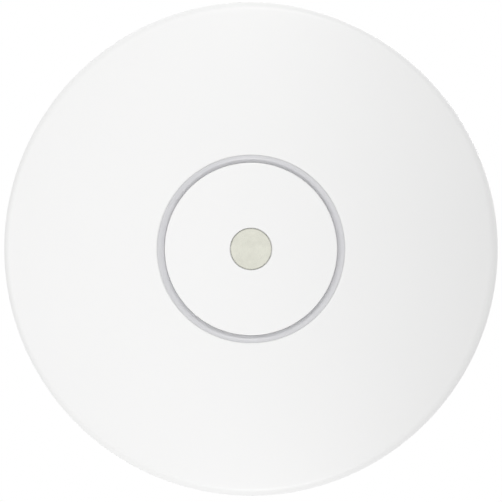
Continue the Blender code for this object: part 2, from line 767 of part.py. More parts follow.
def make_main_board(axis):
    mesh = bmesh.new()
    add_disc(mesh, BOARD_RADIUS, BOARD_UNDER_Z, BOARD_TOP_Z)
    board = make_piece("main_board", mesh, BOARD_GREEN, axis)
    low_z = BOARD_UNDER_Z - RUN
    high_z = BOARD_TOP_Z + RUN
    bay = bmesh.new()
    add_bay_notch(bay, low_z, high_z, RUN)
    shape_with(board, "board_bay", bay, "DIFFERENCE")
    inlets = bmesh.new()
    end = -BAY_START + JACK_LENGTH + 2 * FIT
    for x in jack_centres():
        half = JACK_WIDTH / 2 + FIT
        add_block(inlets, (x - half, -BAY_START, low_z), (x + half, end, high_z))
    for degrees in STANDOFF_ANGLES:
        x, y = around(STANDOFF_CIRCLE, degrees)
        add_rod(inlets, BOARD_SCREW_RADIUS + FIT, (x, y, low_z), (x, y, high_z), 12)
    shape_with(board, "board_holes", inlets, "DIFFERENCE")


def make_box_piece(name, material, axis, centre, size, low_z, high_z, turn=0.0):
    """A plain rectangular part: its centre lies at (x, y) before it is turned about the disc's axis."""
    mesh = bmesh.new()
    low = (centre[0] - size[0] / 2, centre[1] - size[1] / 2, low_z)
    high = (centre[0] + size[0] / 2, centre[1] + size[1] / 2, high_z)
    add_block(mesh, low, high, turn)
    return make_piece(name, mesh, material, axis)


def make_chips(axis):
    """Chips on the board's upper side, each hot one with a pad up to the spreader."""
    low = BOARD_TOP_Z + FIT
    high = low + CHIP_THICK
    hot = [
        ("processor", (0.0, 0.0), PROCESSOR_SIDE),
        ("radio_chip_1", (-RADIO_X, RADIO_Y), RADIO_SIDE),
        ("radio_chip_2", (RADIO_X, RADIO_Y), RADIO_SIDE),
    ]
    for count, (name, centre, side) in enumerate(hot, 1):
        make_box_piece(name, CHIP_BLACK, axis, centre, (side, side), low, high)
        pad = side - 2 * PAD_INSET
        pad_name = f"thermal_pad_{count}"
        make_box_piece(pad_name, PAD_GREY, axis, centre, (pad, pad), high + FIT, HEAT_UNDER_Z - FIT)
    size = (MEMORY_WIDTH, MEMORY_LENGTH)
    make_box_piece("memory_chip", CHIP_BLACK, axis, (0.0, MEMORY_Y), size, low, high)
    size = (FLASH_WIDTH, FLASH_LENGTH)
    make_box_piece("flash_chip", CHIP_BLACK, axis, (FLASH_X, FLASH_Y), size, low, high)


def make_shield_can(axis, count, centre, size):
    """A tin can over radio parts under the board, open towards the board."""
    top = BOARD_UNDER_Z - FIT
    mesh = bmesh.new()
    half = (size[0] / 2, size[1] / 2)
    low = (centre[0] - half[0], centre[1] - half[1], top - CAN_HEIGHT)
    add_block(mesh, low, (centre[0] + half[0], centre[1] + half[1], top))
    can = make_piece(f"shield_can_{count}", mesh, TIN, axis)
    hollow = bmesh.new()
    low = (low[0] + CAN_WALL, low[1] + CAN_WALL, low[2] + CAN_WALL)
    high = (centre[0] + half[0] - CAN_WALL, centre[1] + half[1] - CAN_WALL, top + RUN)
    add_block(hollow, low, high)
    shape_with(can, f"can_hollow_{count}", hollow, "DIFFERENCE")


def make_antenna(axis, count, degrees):
    """A strip bent into a foot on the board, an upright and a top that reaches outwards."""
    top = BOARD_UNDER_Z - FIT
    under = top - ANTENNA_RISE
    sheet = ANTENNA_SHEET
    outline = [
        (-ANTENNA_FOOT, top),
        (-ANTENNA_FOOT, top - sheet),
        (-sheet, top - sheet),
        (-sheet, under),
        (ANTENNA_REACH - ANTENNA_FOOT, under),
        (ANTENNA_REACH - ANTENNA_FOOT, under + sheet),
        (0.0, under + sheet),
        (0.0, top),
    ]
    mesh = bmesh.new()
    add_prism(mesh, outline, ANTENNA_WIDTH, degrees, ANTENNA_START)
    make_piece(f"antenna_{count}", mesh, TIN, axis)


def led_under_z():
    return BOARD_UNDER_Z - FIT - LED_THICK


def make_status_leds(axis):
    """Lamps under the light ring's legs."""
    for count, degrees in enumerate(LIGHT_LEG_ANGLES, 1):
        place = (LIGHT_LEG_CIRCLE, 0.0)
        size = (LED_SIDE, LED_SIDE)
        low = led_under_z()
        high = low + LED_THICK
        make_box_piece(f"status_led_{count}", LED_WHITE, axis, place, size, low, high, degrees)


def make_jack(axis, count, x):
    """A metal shell, open towards the bay, around a plastic insert with the socket in it."""
    face = -BAY_START + FIT
    back = face + JACK_LENGTH
    half = JACK_WIDTH / 2
    mesh = bmesh.new()
    add_block(mesh, (x - half, face, JACK_UNDER_Z), (x + half, back, JACK_TOP_Z))
    shell = make_piece(f"jack_shell_{count}", mesh, TIN, axis)
    hollow = bmesh.new()
    wall = JACK_SHELL
    low = (x - half + wall, face - RUN, JACK_UNDER_Z + wall)
    add_block(hollow, low, (x + half - wall, back - wall, JACK_TOP_Z - wall))
    shape_with(shell, f"shell_hollow_{count}", hollow, "DIFFERENCE")

    wall = JACK_SHELL + FIT
    mesh = bmesh.new()
    low = (x - half + wall, face + FIT, JACK_UNDER_Z + wall)
    add_block(mesh, low, (x + half - wall, back - wall, JACK_TOP_Z - wall))
    insert = make_piece(f"jack_insert_{count}", mesh, BLACK_PLASTIC, axis)
    socket = bmesh.new()
    low_z = socket_low_z()
    end = face + SOCKET_DEPTH
    low = (x - SOCKET_WIDTH / 2, face - RUN, low_z)
    add_block(socket, low, (x + SOCKET_WIDTH / 2, end, low_z + SOCKET_HEIGHT))
    shape_with(insert, f"socket_{count}", socket, "DIFFERENCE")
    key = bmesh.new()
    low = (x - SOCKET_KEY_WIDTH / 2, face - RUN, low_z - SOCKET_KEY_HEIGHT)
    add_block(key, low, (x + SOCKET_KEY_WIDTH / 2, end, low_z + SOCKET_KEY_HEIGHT))
    shape_with(insert, f"socket_key_{count}", key, "DIFFERENCE")


def socket_low_z():
    """Lower side of the wide part of a socket, which is centred in its jack with its key."""
    spare = JACK_HEIGHT - SOCKET_HEIGHT - SOCKET_KEY_HEIGHT
    return JACK_UNDER_Z + spare / 2 + SOCKET_KEY_HEIGHT


def make_supply_parts(axis):
    """Transformers behind the sockets, and the coil and capacitors under the board."""
    low = BOARD_TOP_Z + FIT
    high = low + TRANSFORMER_HEIGHT
    size = (TRANSFORMER_WIDTH, TRANSFORMER_LENGTH)
    y = -BAY_START + JACK_LENGTH + TRANSFORMER_GAP + TRANSFORMER_LENGTH / 2
    for count, x in enumerate(jack_centres(), 1):
        make_box_piece(f"transformer_{count}", CHIP_BLACK, axis, (x, y), size, low, high)

    top = BOARD_UNDER_Z - FIT
    place = (INDUCTOR_X, SUPPLY_Y)
    size = (INDUCTOR_SIDE, INDUCTOR_SIDE)
    make_box_piece("power_inductor", CHIP_BLACK, axis, place, size, top - INDUCTOR_HEIGHT, top)
    for count in range(3):
        mesh = bmesh.new()
        y = SUPPLY_Y + CAPACITOR_PITCH * (count - 1)
        foot = (CAPACITOR_X, y, top)
        add_rod(mesh, CAPACITOR_RADIUS, (CAPACITOR_X, y, top - CAPACITOR_HEIGHT), foot)
        make_piece(f"capacitor_{count + 1}", mesh, ALUMINIUM, axis)


def make_screw(name, material, axis, place, seat_z, length, radius, head, head_thick, down=False):
    """A pan-head screw on its seat. Its shank points up, or down if asked."""
    way = -1.0 if down else 1.0
    mesh = bmesh.new()
    dome = head_thick * 0.4
    outline = [
        (0.0, seat_z - way * head_thick),
        (head - dome, seat_z - way * head_thick),
        (head, seat_z - way * (head_thick - dome)),
        (head, seat_z),
        (radius, seat_z),
        (radius, seat_z + way * (length - radius)),
        (radius * 0.3, seat_z + way * length),
        (0.0, seat_z + way * length),
    ]
    add_turned(mesh, outline, SMALL_SEGMENTS, place)
    make_piece(name, mesh, material, axis)


def make_case_screws(axis):
    for count, degrees in enumerate(CASE_SCREW_ANGLES, 1):
        make_screw(
            f"housing_screw_{count}",
            STEEL,
            axis,
            around(CASE_SCREW_CIRCLE, degrees),
            case_screw_seat_z() + FIT,
            CASE_SCREW_LENGTH,
            CASE_SCREW_RADIUS,
            CASE_SCREW_HEAD,
            CASE_SCREW_HEAD_THICK,
            down=True,
        )


def make_board_screws(axis):
    for count, degrees in enumerate(STANDOFF_ANGLES, 1):
        make_screw(
            f"board_screw_{count}",
            STEEL,
            axis,
            around(STANDOFF_CIRCLE, degrees),
            BOARD_UNDER_Z - FIT,
            BOARD_SCREW_LENGTH,
            BOARD_SCREW_RADIUS,
            BOARD_SCREW_HEAD,
            BOARD_SCREW_HEAD_THICK,
        )


def make_ceiling_screws(root):
    seat = -BRACKET_PLATE - FIT
    for count, degrees in enumerate(HOOK_ANGLES, 1):
        make_screw(
            f"ceiling_screw_{count}",
            STEEL,
            root,
            around(CEILING_SCREW_CIRCLE, degrees),
            seat,
            CEILING_SCREW_REACH - seat,
            CEILING_SCREW_RADIUS,
            CEILING_SCREW_HEAD,
            CEILING_SCREW_HEAD_THICK,
        )


def make_mounting_bracket(root):
    """Plate with a skirt and four lugs. It is open at the centre for the cable and over the latch."""
    mesh = bmesh.new()
    outline = [
        (CABLE_HOLE_RADIUS, 0.0),
        (CABLE_HOLE_RADIUS, -BRACKET_PLATE),
        (BRACKET_RADIUS - BRACKET_WALL, -BRACKET_PLATE),
        (BRACKET_RADIUS - BRACKET_WALL, -BRACKET_SKIRT),
        (BRACKET_RADIUS, -BRACKET_SKIRT),
        (BRACKET_RADIUS, 0.0),
    ]
    add_turned(mesh, outline)
    bracket = make_piece("mounting_bracket", mesh, BRACKET_GREY, root)
    lugs = bmesh.new()
    for degrees in HOOK_ANGLES:
        lug = flat_sector(degrees, LUG_SPAN, LUG_TOP_Z)
        root = BRACKET_RADIUS - BRACKET_WALL / 2
        add_sector(lugs, lug, root, BRACKET_RADIUS + LUG_REACH, -BRACKET_SKIRT)
    shape_with(bracket, "bracket_lugs", lugs, "UNION")
    holes = bmesh.new()
    for degrees in HOOK_ANGLES:
        x, y = around(CEILING_SCREW_CIRCLE, degrees)
        add_rod(holes, CEILING_SCREW_RADIUS + FIT, (x, y, -BRACKET_PLATE - RUN), (x, y, RUN))
    half = LATCH_WIDTH / 2 + RUN
    low = (LATCH_HINGE_X + 2 * RIVET_HEAD, LATCH_Y - half, -BRACKET_PLATE - RUN)
    add_block(holes, low, (latch_tip_x() + RUN, LATCH_Y + half, RUN))
    rivet = (LATCH_HINGE_X, LATCH_Y)
    add_rod(holes, RIVET_RADIUS + FIT, (*rivet, -BRACKET_PLATE - RUN), (*rivet, RUN), 12)
    shape_with(bracket, "bracket_holes", holes, "DIFFERENCE")


def latch_tip_x():
    return LATCH_NIB_X + LATCH_NIB_LENGTH / 2


def make_latch_spring(axis):
    """Leaf under the bracket: riveted at one end, with a nib at the other."""
    half = LATCH_WIDTH / 2
    tail = LATCH_HINGE_X - RIVET_HEAD - RUN
    mesh = bmesh.new()
    add_block(mesh, (tail, LATCH_Y - half, LATCH_UNDER_Z), (latch_tip_x(), LATCH_Y + half, LATCH_TOP_Z))
    spring = make_piece("latch_spring", mesh, STEEL, axis)
    nib = bmesh.new()
    low = (LATCH_NIB_X - LATCH_NIB_LENGTH / 2, LATCH_Y - half, NIB_UNDER_Z)
    add_block(nib, low, (latch_tip_x(), LATCH_Y + half, LATCH_UNDER_Z + LATCH_THICK / 2))
    shape_with(spring, "latch_nib", nib, "UNION")
    hole = bmesh.new()
    place = (LATCH_HINGE_X, LATCH_Y)
    low_end = (*place, LATCH_UNDER_Z - RUN)
    add_rod(hole, RIVET_RADIUS + RUN, low_end, (*place, LATCH_TOP_Z + RUN), 12)
    shape_with(spring, "latch_rivet_hole", hole, "DIFFERENCE")


def make_latch_rivet(root):
    seat = LATCH_UNDER_Z - FIT
    outline = [
        (0.0, -FIT),
        (RIVET_RADIUS, -FIT),
        (RIVET_RADIUS, seat),
        (RIVET_HEAD, seat),
        (RIVET_HEAD * 0.7, seat - RIVET_HEAD_THICK),
        (0.0, seat - RIVET_HEAD_THICK),
    ]
    mesh = bmesh.new()
    add_turned(mesh, outline, 12, (LATCH_HINGE_X, LATCH_Y))
    make_piece("latch_rivet", mesh, STEEL, root)


for old in list(bpy.data.objects):
    bpy.data.objects.remove(old, do_unlink=True)

WHITE = make_material("white_plastic", (0.88, 0.88, 0.87), 0.4)
GREY_PLASTIC = make_material("grey_plastic", (0.45, 0.46, 0.47), 0.5)
BLACK_PLASTIC = make_material("black_plastic", (0.03, 0.03, 0.03), 0.5)
LIGHT_GUIDE = make_material("light_guide", (0.60, 0.59, 0.64), 0.3)
BADGE_METAL = make_material("badge_metal", (0.68, 0.69, 0.62), 0.2, 1.0)
BRACKET_GREY = make_material("bracket_coating", (0.62, 0.63, 0.64), 0.5)
SEAL = make_material("seal_rubber", (0.08, 0.08, 0.08), 0.8)
ALUMINIUM = make_material("aluminium", (0.75, 0.76, 0.78), 0.4, 1.0)
STEEL = make_material("plated_steel", (0.65, 0.66, 0.68), 0.3, 1.0)
TIN = make_material("tinned_steel", (0.72, 0.72, 0.70), 0.35, 1.0)
BOARD_GREEN = make_material("board_green", (0.03, 0.20, 0.09), 0.5)
CHIP_BLACK = make_material("chip_black", (0.04, 0.04, 0.045), 0.55)
PAD_GREY = make_material("thermal_pad", (0.45, 0.50, 0.58), 0.8)
LED_WHITE = make_material("lamp_white", (0.85, 0.85, 0.75), 0.4)

ceiling = make_empty("ceiling_frame", (0.0, 0.0, 0.0))
twist = make_empty("twist_axis", (0.0, 0.0, 0.0), ceiling)
latch = make_empty("latch_axis", (LATCH_HINGE_X, LATCH_Y, (LATCH_TOP_Z + LATCH_UNDER_Z) / 2), ceiling)
reset = make_empty("reset_axis", (RESET_X, -BAY_START, reset_z()), twist)
slide = make_empty("port_cover_axis", (0.0, BAY_END_Y, BACK_Z + FIT), twist)

make_mounting_bracket(ceiling)
make_ceiling_screws(ceiling)
make_latch_rivet(ceiling)
make_latch_spring(latch)

make_back_housing(twist)
make_front_cover(twist)
make_light_ring(twist)
make_centre_cap(twist)
make_centre_badge(twist)
make_seal_gasket(twist)
make_case_screws(twist)

make_heat_plate(twist)
make_main_board(twist)
make_board_screws(twist)
make_chips(twist)
make_status_leds(twist)
make_supply_parts(twist)
for number, middle_x in enumerate(jack_centres(), 1):
    make_jack(twist, number, middle_x)
make_shield_can(twist, 1, (0.0, WIDE_CAN_Y), (WIDE_CAN_WIDTH, WIDE_CAN_LENGTH))
for number, middle_x in ((2, -SMALL_CAN_X), (3, SMALL_CAN_X)):
    make_shield_can(twist, number, (middle_x, SMALL_CAN_Y), (SMALL_CAN_WIDTH, SMALL_CAN_LENGTH))
for number, turned_by in enumerate(CASE_SCREW_ANGLES, 1):
    make_antenna(twist, number, turned_by)

make_reset_button(reset)
make_tact_switch(twist)
make_port_cover(slide)
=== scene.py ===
"""Looks of the ceiling access point: fine shells, screws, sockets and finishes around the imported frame.

Metres, +Z up. The disc hangs face down under its bracket, and the camera looks straight up at it.
"""

import math

import bmesh
import bpy
from mathutils import Matrix, Vector


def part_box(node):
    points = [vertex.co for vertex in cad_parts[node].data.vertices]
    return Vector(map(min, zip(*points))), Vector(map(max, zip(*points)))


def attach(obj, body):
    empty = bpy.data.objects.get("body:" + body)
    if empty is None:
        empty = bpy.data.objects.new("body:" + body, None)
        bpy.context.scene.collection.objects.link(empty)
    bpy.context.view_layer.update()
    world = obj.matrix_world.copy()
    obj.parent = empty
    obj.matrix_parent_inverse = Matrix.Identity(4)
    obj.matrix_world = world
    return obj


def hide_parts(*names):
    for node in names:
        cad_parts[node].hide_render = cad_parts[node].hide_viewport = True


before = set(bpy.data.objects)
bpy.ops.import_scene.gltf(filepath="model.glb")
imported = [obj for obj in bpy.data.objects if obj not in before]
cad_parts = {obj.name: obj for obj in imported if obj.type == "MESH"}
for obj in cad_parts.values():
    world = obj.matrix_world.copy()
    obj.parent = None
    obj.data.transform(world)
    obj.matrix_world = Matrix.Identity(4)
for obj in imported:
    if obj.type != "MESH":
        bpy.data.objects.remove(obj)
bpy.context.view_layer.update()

MM = 0.001
FIT = 0.3 * MM  # between pieces that rest on or in each other

# Disc, as in the frame
COVER_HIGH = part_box("front_cover")[1]
DISC_RADIUS = COVER_HIGH.x
BACK_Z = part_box("back_housing")[1].z
FRONT_Z = BACK_Z - 32.0 * MM
SEAM_Z = BACK_Z - 10.0 * MM
DOME_SAG = 12.0 * MM
EDGE_ROUND = 4.5 * MM
SHELL_WALL = 2.2 * MM
CASE_SCREW_CIRCLE = DISC_RADIUS - 23.4 * MM
BADGE_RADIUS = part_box("centre_badge")[1].x

# Cap, groove and light ring
CAP_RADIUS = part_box("centre_cap")[1].x
CAP_WALL = 1.8 * MM
CAP_RIM = 0.6 * MM  # rounding of the cap's edge
SNAP_RADIUS = 28.5 * MM
SNAP_WALL = 1.2 * MM
GROOVE_RADIUS = CAP_RADIUS + 2.7 * MM
GROOVE_LIP = 1.0 * MM  # rounding of the dish's edge at the groove
RING_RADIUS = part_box("light_ring")[1].x
RING_GAP = 0.06 * MM  # between the ring's face and the walls beside it
RING_DIP = 1.5 * MM  # how much deeper its face lies beside the cap than beside the dish
RING_SWEEP = 1.6  # power of the face's curve
RING_FLANGE = 1.6 * MM
RING_SHELF = 4.5 * MM  # how far the flange reaches behind the cap
LIGHT_CIRCLE = (CAP_RADIUS + GROOVE_RADIUS) / 2
LIGHT_LEG_RADIUS = 1.5 * MM

# Bracket
BRACKET_WALL = 2.0 * MM
BRACKET_BEND = 0.8 * MM
CABLE_HOLE_RADIUS = 18.0 * MM
BEADS = ((21.5 * MM, 0.9 * MM), (43.0 * MM, 1.5 * MM))  # each bead's radius and half its width
CEILING_SCREW_CIRCLE = 27.0 * MM
LATCH_HINGE_X = -16.0 * MM
LATCH_Y = 34.0 * MM
LATCH_WINDOW_X = 0.25 * MM
LATCH_WINDOW_WIDTH = 23.7 * MM
LATCH_WINDOW_LENGTH = 6.2 * MM
RIVET_HOLE_RADIUS = 1.3 * MM
LUG_SPAN = 16.0  # degrees
LUG_REACH = 2.4 * MM
LUG_THICK = 1.6 * MM

# Back of the pan
VENT_COUNT = 13
VENT_PITCH = 3.6  # degrees
VENT_START = 62.0 * MM
VENT_END = 76.0 * MM
VENT_WIDTH = 1.8 * MM
VENT_DEPTH = 1.2 * MM
FIELD_Y = 67.0 * MM
FIELD_WIDTH = 40.0 * MM
FIELD_LENGTH = 16.0 * MM
FIELD_DEPTH = 0.45 * MM

# Box round the pan's thin wall at the sockets, whose edges stay sharp
SOCKET_WALL = ((-23.9 * MM, -44.0 * MM, -24.0 * MM), (23.9 * MM, -41.0 * MM, -9.5 * MM))

# Sockets and board
SOCKET_DEPTH = 12.5 * MM
SOCKET_TOP = 4.45 * MM  # above the middle of the shell
CONTACTS = 8
CONTACT_PITCH = 1.02 * MM
CONTACT_RADIUS = 0.2 * MM
# A contact's bends: how far before the socket's back and below its top each one lies, in mm
CONTACT_BENDS = ((-0.6, 0.5), (1.5, 0.9), (5.0, 2.3), (6.4, 2.5), (7.4, 2.0), (9.2, 0.4))
STANDOFF_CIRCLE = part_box("heat_plate")[1].x - 8.0 * MM
STANDOFF_ANGLES = (30.0, 150.0, 210.0, 330.0)

# Small parts on the board's front: left X, lower Y, columns and rows of each field
SMALL_PART_FIELDS = (
    (-20.0 * MM, -10.0 * MM, 15, 3),
    (-19.5 * MM, 27.5 * MM, 16, 2),
    (-23.5 * MM, -16.0 * MM, 1, 6),
    (24.5 * MM, -16.0 * MM, 1, 6),
)
SMALL_PART_PITCH = (2.6 * MM, 3.2 * MM)

# Screws
HEAD_THICK = {"ceiling_screw": 2.4 * MM, "housing_screw": 1.5 * MM, "board_screw": 1.2 * MM}
SHANK_RADIUS = {"ceiling_screw": 2.1 * MM, "housing_screw": 1.4 * MM, "board_screw": 1.0 * MM}
# The core's share of the shank, the thread's pitch, and the length of the point
THREADS = {
    "ceiling_screw": (0.68, 1.5 * MM, 4.0 * MM),
    "housing_screw": (0.75, 0.9 * MM, 1.5 * MM),
    "board_screw": (0.78, 0.6 * MM, 0.8 * MM),
}
RECESS_WIDTH = 0.2  # of the head's radius, as are the slots' reach
RECESS_REACH = 0.55
RECESS_DEPTH = 0.75  # of the head's thickness

SMOOTH = 192  # steps round a turned face
FACET = 6.0  # degrees, of the frame's turned faces
QUARTERS = (45.0, 135.0, 225.0, 315.0)

# Studio
WORLD_LIGHT = 0.69
FLOOR_LIGHT = 0.35
FLOOR_Z = -1.35
CAMERA_DISTANCE = 0.9
CAMERA_SHIFT = 0.8 * MM  # along Y, as the photo is framed
CAMERA_LENS = 158.4


def around(radius, degrees):
    """The place on a circle about the disc's axis."""
    angle = math.radians(degrees)
    return radius * math.cos(angle), radius * math.sin(angle)


def dome_z(radius, inset=0.0):
    """Height of the front's face, or of the face that lies inset behind it."""
    return FRONT_Z + inset + DOME_SAG * (radius / DISC_RADIUS) ** 2


def arc(centre, radius, start, end, steps):
    """Points along an arc between two angles in degrees."""
    points = []
    for step in range(steps + 1):
        angle = math.radians(start + (end - start) * step / steps)
        points.append((centre[0] + radius * math.cos(angle), centre[1] + radius * math.sin(angle)))
    return points


def dome_points(start, steps, bend_steps, inset=0.0):
    """Outline from a start radius out over the front, and round its edge up to the side wall."""
    reach = DISC_RADIUS - inset
    bend = EDGE_ROUND - inset
    lean = math.atan(2 * DOME_SAG * (reach - bend) / DISC_RADIUS**2)
    turn = reach - bend * (1.0 - math.sin(lean))
    points = []
    for step in range(steps + 1):
        radius = start + (turn - start) * step / steps
        points.append((radius, dome_z(radius, inset)))
    middle = (reach - bend, dome_z(turn, inset) + bend * math.cos(lean))
    return points + arc(middle, bend, math.degrees(lean) - 90.0, 0.0, bend_steps)[1:]


def add_turned(mesh, outline, segments=SMOOTH, centre=(0.0, 0.0)):
    """A closed outline of (radius, height) points, turned about an upright axis."""
    rings = []
    for radius, height in outline:
        if radius == 0.0:
            rings.append([mesh.verts.new((centre[0], centre[1], height))] * segments)
            continue
        ring = []
        for step in range(segments):
            angle = 2 * math.pi * step / segments
            place = (centre[0] + radius * math.cos(angle), centre[1] + radius * math.sin(angle), height)
            ring.append(mesh.verts.new(place))
        rings.append(ring)
    for ring, following in zip(rings, rings[1:] + rings[:1]):
        for step in range(segments):
            after = (step + 1) % segments
            corners = []
            for corner in (ring[step], ring[after], following[after], following[step]):
                if corner not in corners:
                    corners.append(corner)
            if len(corners) > 2:
                mesh.faces.new(corners)


def add_rod(mesh, radius, start, end, segments=32, tip=None):
    """A round bar between two points, which may taper to another radius."""
    start = Vector(start)
    end = Vector(end)
    along = end - start
    place = Matrix.Translation((start + end) / 2) @ along.to_track_quat("Z", "Y").to_matrix().to_4x4()
    size = {"radius1": radius, "radius2": radius if tip is None else tip, "depth": along.length}
    bmesh.ops.create_cone(mesh, cap_ends=True, segments=segments, matrix=place, **size)


def add_block(mesh, low, high):
    """A block between two corners."""
    size = [b - a for a, b in zip(low, high)]
    middle = [(a + b) / 2 for a, b in zip(low, high)]
    place = Matrix.Translation(middle) @ Matrix.Diagonal((*size, 1.0))
    bmesh.ops.create_cube(mesh, size=1.0, matrix=place)


def add_soft_block(mesh, low, high, width, segments=2):
    """A block whose edges are all rounded."""
    known = set(mesh.edges)
    add_block(mesh, low, high)
    edges = [edge for edge in mesh.edges if edge not in known]
    bmesh.ops.bevel(mesh, geom=edges, offset=width, segments=segments, profile=0.5, affect="EDGES")


def add_upright(mesh, outline, low, high):
    """A flat outline of (x, y) points drawn out between two heights."""
    rings = []
    for height in (low, high):
        ring = [mesh.verts.new((x, y, height)) for x, y in outline]
        mesh.faces.new(ring)
        rings.append(ring)
    for step in range(len(outline)):
        after = (step + 1) % len(outline)
        mesh.faces.new((rings[0][step], rings[0][after], rings[1][after], rings[1][step]))


def slot_outline(start, end, width):
    """A straight slot with round ends about two places."""
    along = math.degrees(math.atan2(end[1] - start[1], end[0] - start[0]))
    return arc(start, width / 2, along + 90, along + 270, 8) + arc(end, width / 2, along - 90, along + 90, 8)


def field_outline(centre, width, length, corner):
    """A rectangle with round corners."""
    outline = []
    for turn, (x, y) in enumerate(((1, 1), (-1, 1), (-1, -1), (1, -1))):
        place = (centre[0] + x * (width / 2 - corner), centre[1] + y * (length / 2 - corner))
        outline += arc(place, corner, 90 * turn, 90 * turn + 90, 6)
    return outline


def add_wire(mesh, radius, points, sides=8):
    """A round wire along points, which may bend in any way."""
    places = [Vector(point) for point in points]
    rings = []
    for count, place in enumerate(places):
        before = places[max(count - 1, 0)]
        after = places[min(count + 1, len(places) - 1)]
        turn = (after - before).to_track_quat("Z", "X").to_matrix()
        ring = []
        for step in range(sides):
            across = Vector((*around(radius, 360.0 * step / sides), 0.0))
            ring.append(mesh.verts.new(place + turn @ across))
        rings.append(ring)
    for ring, following in zip(rings, rings[1:]):
        for step in range(sides):
            after = (step + 1) % sides
            mesh.faces.new((ring[step], ring[after], following[after], following[step]))
    mesh.faces.new(rings[0])
    mesh.faces.new(rings[-1])


def turn_about_axis(mesh, degrees):
    """Turns a whole mesh about the disc's axis."""
    turn = Matrix.Rotation(math.radians(degrees), 3, "Z")
    bmesh.ops.rotate(mesh, verts=mesh.verts, cent=(0.0, 0.0, 0.0), matrix=turn)


def make_mesh(name, mesh):
    """A bmesh becomes mesh data whose faces all look outwards."""
    bmesh.ops.recalc_face_normals(mesh, faces=mesh.faces[:])
    data = bpy.data.meshes.new(name)
    mesh.to_mesh(data)
    mesh.free()
    return data


def add_object(name, data):
    """An object for a mesh, a lamp or a camera, in the scene."""
    made = bpy.data.objects.new(name, data)
    bpy.context.scene.collection.objects.link(made)
    return made


def make_piece(name, mesh, finish, body, slot_name, *nodes):
    """A bmesh in world places becomes a piece that rides on a body and stands for CAD nodes."""
    piece = add_object(name, make_mesh(name, mesh))
    smooth(piece)
    piece.data.materials.append(finish)
    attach(piece, body)
    if nodes:
        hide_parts(*nodes)
    return piece


def smooth(piece):
    """Smooth shading, apart from the edges of a form."""
    piece.data.shade_smooth()
    piece.data.set_sharp_from_angle(angle=math.radians(32.0))


def facet_share(face, place):
    """How far a place on a turned facet lies inside the round face, as a share of its radius, or None."""
    if math.hypot(face.normal.x, face.normal.y) < 0.05:
        return None
    across = math.degrees(math.atan2(face.normal.y, face.normal.x))
    if abs(across % FACET - FACET / 2) > 0.1:
        return None
    turn = math.degrees(math.atan2(place.y, place.x)) - across
    turn = (turn + 90.0) % 180.0 - 90.0
    if abs(turn) > FACET / 2 + 0.05:
        return None
    return math.cos(math.radians(turn)) / math.cos(math.radians(FACET / 2))


def round_out(mesh):
    """Splits the facets of faces turned about the disc's axis, and moves the new points out to the round."""
    split = []
    for edge in mesh.edges:
        first, second = (vertex.co for vertex in edge.verts)
        if abs(first.z - second.z) > 0.001 * MM or edge.calc_length() < 0.8 * MM:
            continue
        shares = [facet_share(face, place) for face in edge.link_faces for place in (first, second)]
        turned = [pair for pair in zip(shares[0::2], shares[1::2]) if None not in pair]
        along = (first.xy - second.xy).normalized()
        outwards = (first.xy + second.xy).normalized()
        if turned and abs(along.dot(outwards)) < 0.06:
            split.append(edge)
    bmesh.ops.subdivide_edges(mesh, edges=split, cuts=3, use_grid_fill=True)
    mesh.normal_update()
    moves = {}
    for vertex in mesh.verts:
        for face in vertex.link_faces:
            share = facet_share(face, vertex.co)
            if share:
                moves[vertex] = max(share, moves.get(vertex, 1.0))
    for vertex, share in moves.items():
        vertex.co.xy = vertex.co.xy * share


def cut(piece, mesh):
    """Takes a closed shape away from a piece for good."""
    cutter = add_object("cutter", make_mesh("cutter", mesh))
    modifier = piece.modifiers.new("cut", "BOOLEAN")
    modifier.solver = "EXACT"
    modifier.object = cutter
    bpy.context.view_layer.update()
    shape = piece.evaluated_get(bpy.context.evaluated_depsgraph_get())
    result = bpy.data.meshes.new_from_object(shape)
    piece.modifiers.remove(modifier)
    piece.data = result
    bpy.data.objects.remove(cutter, do_unlink=True)
    smooth(piece)


def lies_in(place, box):
    """Whether a place lies in a box given by its two corners."""
    return all(low < value < high for low, value, high in zip(box[0], place, box[1]))


def mark_edges(mesh, thin_box):
    """Marks the sharp edges to be rounded, apart from those in a box whose walls are too thin for it."""
    weight = mesh.edges.layers.float.new("bevel_weight_edge")
    for edge in mesh.edges:
        middle = (edge.verts[0].co + edge.verts[1].co) / 2
        thin = thin_box and lies_in(middle, thin_box)
        if edge.calc_face_angle(0.0) > math.radians(30.0) and not thin:
            edge[weight] = 1.0


def refine(node, finish, body, slot_name, width=0.25 * MM, turned=True, cutter=None, thin_box=None):
    """A finer copy of a CAD node: its flat faces made whole, its edges rounded, its round faces smooth."""
    mesh = bmesh.new()
    mesh.from_mesh(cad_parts[node].data)
    bmesh.ops.remove_doubles(mesh, verts=mesh.verts, dist=0.005 * MM)
    bmesh.ops.dissolve_limit(mesh, angle_limit=math.radians(1.0), verts=mesh.verts, edges=mesh.edges)
    piece = make_piece(node + "_fine", mesh, finish, body, slot_name, node)
    if cutter:
        cut(piece, cutter)
    mesh = bmesh.new()
    mesh.from_mesh(piece.data)
    if turned:
        round_out(mesh)
    mesh.to_mesh(piece.data)
    mesh.free()
    round_edges(piece, width, thin_box)


def round_edges(piece, width, thin_box=None):
    """Rounds a piece's sharp edges, and keeps its large flat faces flat beside them."""
    mesh = bmesh.new()
    mesh.from_mesh(piece.data)
    mark_edges(mesh, thin_box)
    mesh.to_mesh(piece.data)
    mesh.free()
    smooth(piece)
    bevel = piece.modifiers.new("edges", "BEVEL")
    bevel.width = width
    bevel.segments = 2
    bevel.limit_method = "WEIGHT"
    bevel.use_clamp_overlap = False
    normals = piece.modifiers.new("normals", "WEIGHTED_NORMAL")
    normals.weight = 100
    normals.keep_sharp = True


# Materials

